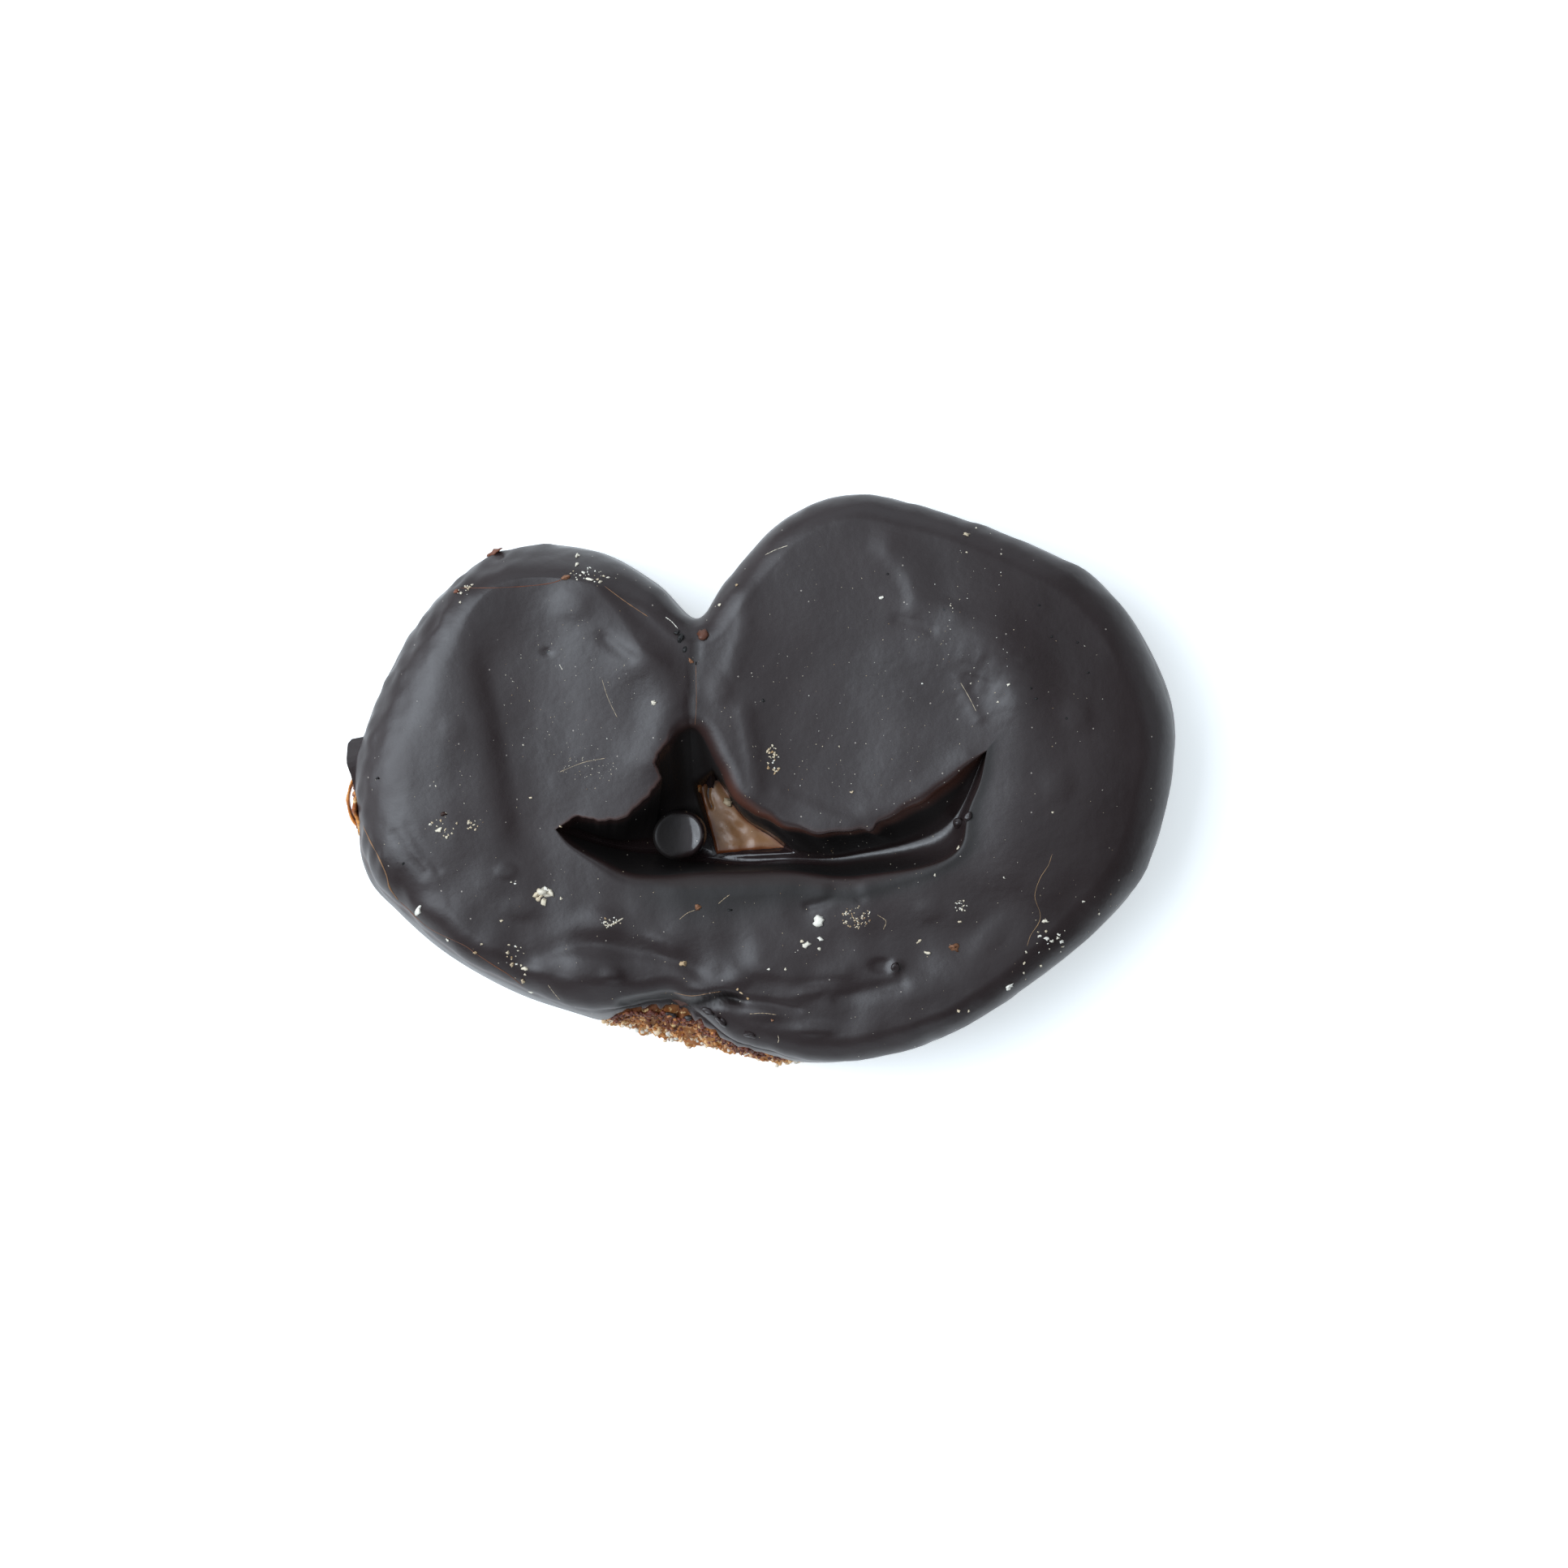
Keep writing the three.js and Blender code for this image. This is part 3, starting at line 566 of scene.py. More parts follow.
def baked_puff_pastry():
    """Baked laminated dough with caramelised sugar: dry and rough, pale gold inside a layer, amber on its
    ridges and brown in the folds, with the odd pale flake; the same brown is painted shade on the dough
    under the chocolate, where it shows in the gap under the rim."""
    made, tree, shader = finish_of("baked_puff_pastry")
    place = node(tree, "TexCoord").outputs["Object"]
    layer = node(tree, "Attribute", attribute_name="layer").outputs["Fac"]
    patches = node(tree, "TexNoise", {"Vector": place, "Scale": per_mm(5), "Detail": 3}).outputs["Fac"]
    grains = node(tree, "TexNoise", {"Vector": place, "Scale": per_mm(0.8), "Detail": 4}).outputs["Fac"]
    brown = node(tree, "MapRange", {"Value": patches, "From Min": 0.38, "From Max": 0.62}).outputs["Result"]
    crust = blend_colours(tree, brown, linear("#d9954c"), linear("#9c5524"))
    folds = blend_colours(tree, layer, crust, linear("#5f3213"))
    pale = node(tree, "MapRange", {"Value": grains, "From Min": 0.58, "From Max": 0.68}).outputs["Result"]
    colour = blend_colours(tree, pale, folds, linear("#e2bd85"))
    relief = node(tree, "Bump", {"Height": grains, "Distance": 0.0003, "Strength": 0.6})
    tree.links.new(colour, shader.inputs["Base Color"])
    tree.links.new(relief.outputs["Normal"], shader.inputs["Normal"])
    shader.inputs["Roughness"].default_value = 0.62
    shader.inputs["IOR"].default_value = 1.47
    return made


crust = baked_puff_pastry()
dough.data.materials.append(crust)
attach(dough, "root")
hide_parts("puff_pastry")

# ---- the web in the slit ------------------------------------------------------------------------
# At the bottom of the slit a sheet of bare dough, glazed by sugar that has run and set, joins the
# folds. The chocolate stops round it in a four-sided gap; a crack runs down from its top corner.
def web_grid():
    """A patch between the window's corners, pushed out past them. Its height is the web's less a
    fall outside the window, with ridges that fan down from the top and a narrow crack."""
    a, b = np.meshgrid(steps(90), steps(90), indexing="ij")
    middle = np.mean(WINDOW, 0)
    corners = middle + (np.array(WINDOW) - middle) * 1.35
    top_right, top_left, low_left, low_right = corners
    upper = mix(top_left, top_right, a[..., None])
    lower = mix(low_left, low_right, a[..., None])
    place = mix(upper, lower, b[..., None])
    x, y = place[..., 0], place[..., 1]
    z = WEB_TOP - 1.6 * ease(-0.3, 0.9, window_distance(x, y))
    fan = a + 0.03 * np.sin(9 * b)
    z += 0.09 * np.sin(fan * 21 + 1.8 * np.sin(4 * b)) * ease(0, 0.4, b) + 0.06 * waves(x, y, 2.6, 31)
    crack = beside(x, y, [(-6.3, -0.4), (-6.5, -1.9), (-6.0, -3.6)], 3)[0]
    z -= 0.7 * bell(crack / 0.22)
    return raised(place, z)


def slab_piece(name, grid, depth, **attributes):
    """Closes a patch to a solid: the same patch depth lower, faces turned, and walls between."""
    rows, columns = grid.shape[:2]
    below = grid.copy()
    below[..., 2] -= depth
    index = np.arange(rows * columns).reshape(rows, columns)
    quads = faces_between(index[:-1], index[1:])
    rim = np.concatenate([index[0, :-1], index[:-1, -1], index[-1, :0:-1], index[:0:-1, 0]])
    after = np.roll(rim, -1)
    offset = rows * columns
    walls = np.stack([rim, rim + offset, after + offset, after], -1)
    faces = np.concatenate([quads, quads[:, ::-1] + offset, walls])
    values = {key: np.tile(np.ravel(value), 2) for key, value in attributes.items()}
    made = piece(name, np.concatenate([grid.reshape(-1, 3), below.reshape(-1, 3)]), faces, **values)
    face_out(made)
    return made


def face_out(made):
    """Turns the faces of a closed piece outwards."""
    solid = bmesh.new()
    solid.from_mesh(made.data)
    bmesh.ops.recalc_face_normals(solid, faces=solid.faces)
    solid.to_mesh(made.data)
    solid.free()


def glazed_dough():
    """Dough under set caramel: tan and translucent looking, glossy, browner at its borders."""
    made, tree, shader = finish_of("caramel_glazed_dough")
    place = node(tree, "TexCoord").outputs["Object"]
    border = node(tree, "Attribute", attribute_name="border").outputs["Fac"]
    streaks = node(tree, "TexNoise", {"Vector": place, "Scale": per_mm(1.6), "Detail": 4}).outputs["Fac"]
    tan = blend_colours(tree, streaks, linear("#9f7653"), linear("#80593a"))
    colour = blend_colours(tree, border, tan, linear("#6b3417"))
    relief = node(tree, "Bump", {"Height": streaks, "Distance": 0.0002, "Strength": 0.4})
    tree.links.new(colour, shader.inputs["Base Color"])
    tree.links.new(relief.outputs["Normal"], shader.inputs["Normal"])
    shader.inputs["Roughness"].default_value = 0.28
    return made


web_points = web_grid()
web_edge = ease(-1.0, 0.1, window_distance(web_points[..., 0], web_points[..., 1]))
web = slab_piece("web", web_points, 1.2, border=web_edge)
web.data.materials.append(glazed_dough())
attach(web, "root")

# ---- loose sheets at the left -------------------------------------------------------------------
# Two thin baked layers that have sprung off the side and stand on edge. Each has its two ends in
# plan, how far it bows out, its lower and upper height and its thickness.
SHEETS = [
    dict(start=(-51.5, -0.4), stop=(-51.3, -7.0), bow=0.7, low=2.4, high=9.6, thick=0.75),
    dict(start=(-51.7, 1.2), stop=(-51.6, -6.4), bow=2.0, low=1.3, high=5.6, thick=0.4),
]


def sheet_grid(start, stop, bow, low, high, thick, seed):
    """A leaf that bows out between its two held ends, wavy along its top, thick at the root and
    thinner at the tip; a closed ring of four sides carried along the leaf."""
    t = steps(60)
    reach = bow * np.sin(np.pi * t) ** 0.7
    x = mix(start[0], stop[0], t) - reach
    y = mix(start[1], stop[1], t)
    ragged = high + 0.5 * waves(t * 8, 0, 2.2, seed) - 1.5 * (2 * t - 1) ** 4
    ring = []
    for side, height in ((0, 0), (0, 0.5), (0, 1), (1, 1), (1, 0.5), (1, 0)):
        wide = thick * side * (1 - 0.35 * height)
        wobble = 0.12 * waves(t * 8, height * 3, 3, seed + 1)
        ring.append(np.stack([x - wide + wobble * height, y, mix(low, ragged, height)], -1))
    return np.stack(ring, 1)


def tube_piece(name, grid):
    """Closes a ring of points carried along a path, with a cap at each end."""
    count, around = grid.shape[:2]
    index = np.arange(count * around).reshape(count, around)
    after = np.roll(index, -1, 1)
    quads = np.stack([index[:-1], after[:-1], after[1:], index[1:]], -1).reshape(-1, 4)
    caps = np.concatenate([ring[[[0, 1, 4, 5], [1, 2, 3, 4]]] for ring in (index[0], index[-1])])
    made = piece(name, grid.reshape(-1, 3), np.concatenate([quads, caps]))
    face_out(made)
    return made


for number, leaf in enumerate(SHEETS):
    sheet = tube_piece(f"loose_layer_{number + 1}", sheet_grid(seed=40 + number, **leaf))
    sheet.data.materials.append(crust)
    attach(sheet, "root")

# ---- the chocolate ------------------------------------------------------------------------------
# Dark chocolate that the pastry was dipped in, set to a skin a good millimetre thick. It is thin
# and reddish where it was stretched over an edge, and shinier in the slit, where nothing rubs it.
RIM_ROUND = 0.4  # height over which the rim's edge is rounded


def coat_grid():
    """Rows from the slit's floor over the top and down to the rim, round the rim's edge, and back
    the same way inside, sunk by the coat's thickness. Also gives where the slit, the lip, the top
    face, the shoulder, the side and the rim's edge end among the rows."""
    k = station(u, 0)
    top = top_rows(k, steps(80))
    slit = slit_rows(k, top, steps(36)[:-1], 0.6)
    lip = lip_rows(k, top, steps(7)[:-1])
    shoulder = shoulder_rows(k, steps(25)[1:])
    start = shoulder[:, -1:, 2]
    rim = (RIM_Z + k["lift"])[:, None]
    low = np.minimum(np.maximum(FOOT_Z, rim + 1), start - 0.2)
    edge = rim + RIM_ROUND
    z = np.concatenate([mix(start, low, steps(13)[None, 1:]), mix(low, edge, steps(5)[None, 1:])], 1)
    side = side_rows(k, start, z)
    skin = COAT - 0.05
    turn = np.array([0.25, 0.5, 0.75])[None] * np.pi
    under = side[:, -1:, :2] - k["out"][:, None] * (skin / 2 * (1 - np.cos(turn)))[..., None]
    under = raised(under, edge - RIM_ROUND * np.sin(turn))
    outside = [slit, lip, top, shoulder, side, under]
    k = station(u, skin)
    top_in = top_rows(k, steps(12))
    slit_in = slit_rows(k, top_in, steps(8)[:-1], 1.6)
    lip_in = lip_rows(k, top_in, steps(2)[:-1])
    shoulder_in = shoulder_rows(k, steps(8)[1:])
    start = shoulder_in[:, -1:, 2]
    side_in = side_rows(k, start, mix(start, edge, steps(5)[None, 1:]))
    inside = np.concatenate([slit_in, lip_in, top_in, shoulder_in, side_in], 1)[:, ::-1]
    return np.concatenate([*outside, inside], 1), np.cumsum([rows.shape[1] for rows in outside])


coat_points, coat_ends = coat_grid()


def coat_shades():
    """Three shares over the coat, each of bells and smooth steps across lines on it. Thin is where it was
    stretched: the slit's lip, the left shoulder and the raised rim; it also paints the wall just under the
    lip a lighter brown, partly thin chocolate and partly painted light where the lamps barely reach. Wet is
    the slit's floor. The third share is painted shade, near black and dull: deep in the slit, in the crease
    and the crack, and along the band's edge in front of the slit."""
    x, y, z = np.moveaxis(coat_points, -1, 0)
    slit_end, lip_end, _, shoulder_end, side_end, outside_end = coat_ends
    row = np.arange(coat_points.shape[1])[None]
    back = u[:, None] > 0.5
    s = np.where(back, 2 - 2 * u[:, None], 2 * u[:, None])
    strides = np.diff(coat_points, axis=1, prepend=coat_points[:, :1])
    walk = np.cumsum(np.linalg.norm(strides, axis=2), 1)
    beyond_lip = walk - walk[:, lip_end - 1:lip_end]
    into_slit = np.where(row < lip_end, -beyond_lip, -9.0)

    lip_line = bell(beyond_lip / 0.3) * back
    lip_line *= np.where(s < 0.5, ease(0.46, 0.42, s), 0.5 * ease(0.74, 0.8, s))
    # Partly painted light: the wall just under the slit's lip gets a lighter brown, thin chocolate where
    # the lamps barely reach.
    browned = np.where(back, mix(0.2, 1.0, ease(0.58, 0.68, s)), 0.1)
    under_lip = ease(0.1, 1.0, into_slit) * ease(4.0, 1.6, into_slit) * browned
    left = ease(-20, -36, x) * ease(2, -6, y)
    edge_line = bell((walk - walk[:, shoulder_end - 1:shoulder_end]) / 0.3) * left
    rim_line = ease(side_end - 5, side_end - 1, row) * (row < outside_end + 3)
    rim_line = rim_line * ease(-3, 6, rim_lift(x, y))
    thin = np.clip(0.6 * edge_line + 0.4 * lip_line + 0.9 * rim_line + under_lip, 0, 1)

    wet = ease(1.2, 0.4, z - z[:, :1]) * (row < slit_end) * mix(1, 0.5, ease(0.7, 0.8, s))

    # Painted shade: the coat turns near black and dull deep in the slit, in the crease and the crack, and
    # along the band's edge in front of the slit.
    deep = ease(1.5, 4.0, into_slit) * mix(1, 0.3, ~back * ease(0.8, 0.9, s))
    in_crease = 0.5 * bell((x - CREASE["x"]) / 0.7) * ease(3, 6, y) * ease(20, 15, y) * (z > 9)
    in_crack = bell(beside(x, y, CRACK, 4)[0] / 0.7) * (z > 9)
    wide = mix(3.6, 1.4, ease(0.6, 0.8, s))
    on_lip = ~back * ease(0.2, 0.5, s) * bell((beyond_lip - 0.6) / wide)
    hidden = np.maximum(deep * (1 - wet), np.maximum(np.maximum(in_crease, in_crack), on_lip))
    return dict(thin=thin, wet=wet, hidden=hidden)


coat = ring_piece("chocolate", coat_points, **coat_shades())


def set_dark_chocolate():
    """Dark chocolate that set by itself: near black brown under a satin skin of cocoa butter whose
    gloss varies from place to place, with dust and the pin holes of burst bubbles."""
    made, tree, shader = finish_of("set_dark_chocolate")
    place = node(tree, "TexCoord").outputs["Object"]
    thin_coat = node(tree, "Attribute", attribute_name="thin").outputs["Fac"]
    wet_coat = node(tree, "Attribute", attribute_name="wet").outputs["Fac"]
    hidden_coat = node(tree, "Attribute", attribute_name="hidden").outputs["Fac"]
    clouds = node(tree, "TexNoise", {"Vector": place, "Scale": per_mm(9), "Detail": 3}).outputs["Fac"]
    open_coat = blend_colours(tree, clouds, linear("#211818"), linear("#2b2020"))
    # Painted shade: where the third share is high the colour turns near black.
    dark = blend_colours(tree, hidden_coat, open_coat, linear("#100806"))
    # Thin chocolate is reddish brown; on the wall under the slit's lip this brown is partly painted light.
    brown = blend_colours(tree, thin_coat, dark, linear("#4a2b21"))
    dust = node(tree, "TexVoronoi", {"Vector": place, "Scale": per_mm(1.9), "Randomness": 1.0})
    small = node(tree, "Math", {0: dust.outputs["Distance"], 1: 0.055}, operation="LESS_THAN").outputs[0]
    pick = node(tree, "SeparateColor", {"Color": dust.outputs["Color"]}).outputs[0]
    some = node(tree, "Math", {0: pick, 1: 0.5}, operation="GREATER_THAN").outputs[0]
    specks = node(tree, "Math", {0: small, 1: some}, operation="MULTIPLY").outputs[0]
    dusty = blend_colours(tree, specks, brown, linear("#8f867e"))
    holes = node(tree, "TexVoronoi", {"Vector": place, "Scale": per_mm(7.5), "Randomness": 1.0})
    pin = node(tree, "Math", {0: holes.outputs["Distance"], 1: 0.03}, operation="LESS_THAN").outputs[0]
    colour = blend_colours(tree, pin, dusty, linear("#050303"))
    gloss = node(tree, "MapRange", {"Value": clouds, "From Min": 0.3, "From Max": 0.7,
                                    "To Min": 0.36, "To Max": 0.46}).outputs["Result"]
    dull = node(tree, "Mix", {"Factor": hidden_coat, "A": gloss, "B": 0.62}).outputs["Result"]
    rough = node(tree, "Mix", {"Factor": wet_coat, "A": dull, "B": 0.18}).outputs["Result"]
    ripple = node(tree, "TexNoise", {"Vector": place, "Scale": per_mm(1.4), "Detail": 5}).outputs["Fac"]
    relief = node(tree, "Bump", {"Height": ripple, "Distance": 0.0001, "Strength": 0.5})
    tree.links.new(colour, shader.inputs["Base Color"])
    tree.links.new(rough, shader.inputs["Roughness"])
    tree.links.new(relief.outputs["Normal"], shader.inputs["Normal"])
    shader.inputs["IOR"].default_value = 1.5
    return made


chocolate = set_dark_chocolate()
coat.data.materials.append(chocolate)
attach(coat, "root")
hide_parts("chocolate_coat")

# ---- the drop in the slit -----------------------------------------------------------------------
# Chocolate that ran down the wall of the left roll and set as a bead at the bottom of the slit.
DROP = dict(x=-10.1, y=-7.2, z=7.0, radius=3.4, height=3.2)


def drop_grid():
    """A ball in polar steps. Its upper half is a flat cake with round edges, thinner at the left, whose top
    rises to the right in a smooth step and is a little hollow. Also gives a painted shade for each point: 1
    at the left, where the wall shades it, and 0 at the right."""
    a, b = np.meshgrid(steps(73), steps(41), indexing="ij")
    turn, tilt = 2 * np.pi * a, np.pi * b
    share = np.sin(tilt)
    wide = DROP["radius"] * (1 + 0.04 * np.sin(2 * turn + 1) * share**2)
    x = DROP["x"] + wide * share * np.cos(turn)
    y = DROP["y"] + wide * share * np.sin(turn)
    cake = 0.6 * np.sqrt(np.clip(1 - share ** mix(9, 24, ease(0, -0.6, np.cos(turn))), 0, 1))
    lean = np.hypot(share * np.cos(turn) + 0.45, 0.75 * share * np.sin(turn) + 0.1)
    climb = 1.0 + 0.4 * ease(0.9, 1.45, lean) * (np.cos(turn) > 0)
    dish = 1.3 * (share * np.cos(turn) - 0.45) ** 2
    z = DROP["z"] + DROP["height"] * np.where(b > 0.5, cake * (climb + dish / 4), -np.cos(tilt))
    return np.stack([x, y, z], -1), ease(0.75, -0.35, share * np.cos(turn))


drop_points, drop_shade = drop_grid()
drop_index = np.arange(drop_shade.size).reshape(drop_shade.shape).T
# The drop's left side gets painted shade, its right side the slit's gloss.
drop = piece("drop", drop_points.reshape(-1, 3), faces_between(drop_index[:-1], drop_index[1:]), merge=1e-6,
             wet=1 - drop_shade, hidden=drop_shade)
face_out(drop)
drop.data.materials.append(chocolate)
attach(drop, "root")

# ---- lumps of chocolate -------------------------------------------------------------------------
# Chocolate that dripped or was pushed up and set as small round lumps, most of them over the bare
# crust at the front. Each row is a lump's place, its length, width and height, and its turn in
# degrees.
LUMPS = np.array([
    (-6.3, -29.9, 1.7, 0.9, 0.8, -25), (-4.5, -31.2, 1.6, 0.9, 0.8, -60),
    (-9.0, -30.9, 1.4, 0.7, 0.6, 10), (-0.9, -32.9, 1.6, 0.7, 0.6, -10),
    (-11.2, -30.5, 1.4, 0.6, 0.6, -15), (17.8, -24.1, 1.1, 1.1, 0.6, 0),
    (26.2, -5.6, 1.4, 1.2, 1.1, 20), (27.2, -4.7, 1.4, 0.9, 0.7, 50),
])


def landing(x, y):
    """For each place, the spot where a line straight down first meets the pastry, the way that spot
    faces, and whether there is one."""
    scene, view = bpy.context.scene, bpy.context.evaluated_depsgraph_get()
    starts = [(a * 0.001, b * 0.001, 0.05) for a, b in zip(x, y)]
    spots = [scene.ray_cast(view, start, (0, 0, -1)) for start in starts]
    meets, place, facing = (np.array([spot[part] for spot in spots]) for part in range(3))
    return place * 1000, facing, meets


def lump_piece(name, place, facing, size, turn, tone, rough, detail, seed):
    """One mesh of many lumps: balls whose corners are pushed in or out by a rough share, in waves
    and at random, flattened to their three sizes, turned, and laid a little sunk on their spots."""
    solid = bmesh.new()
    bmesh.ops.create_icosphere(solid, subdivisions=detail, radius=1)
    ball = np.array([corner.co for corner in solid.verts])
    faces = np.array([[corner.index for corner in face.verts] for face in solid.faces])
    solid.free()
    shift = 9 * np.arange(len(place))[:, None]
    swell = waves(ball[:, 0] + 0.6 * ball[:, 2] + shift, ball[:, 1] - 0.8 * ball[:, 2], 1.9, seed)
    chip = np.random.default_rng(seed).uniform(-1, 1, swell.shape) / detail**2
    push = (1 + rough * (swell + 4 * chip))[..., None]
    angle = np.radians(turn)
    along = np.stack([np.cos(angle), np.sin(angle), 0 * angle], -1)
    along = unit(along - facing * (along * facing).sum(-1, keepdims=True))
    axes = np.stack([along, np.cross(facing, along), facing], 1)
    middle = place + 0.25 * size[:, 2:] * facing
    points = middle[:, None] + (ball * push * size[:, None] / 2) @ axes
    corners = faces + len(ball) * np.arange(len(place))[:, None, None]
    return piece(name, points.reshape(-1, 3), corners.reshape(-1, 3), tone=np.repeat(tone, len(ball)))


lump_place, lump_facing, _ = landing(LUMPS[:, 0], LUMPS[:, 1])
lumps = lump_piece("chocolate_lumps", lump_place, lump_facing, LUMPS[:, 2:5], LUMPS[:, 5],
                   tone=np.zeros(len(LUMPS)), rough=0.13, detail=5, seed=50)
lumps.data.materials.append(chocolate)
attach(lumps, "root")

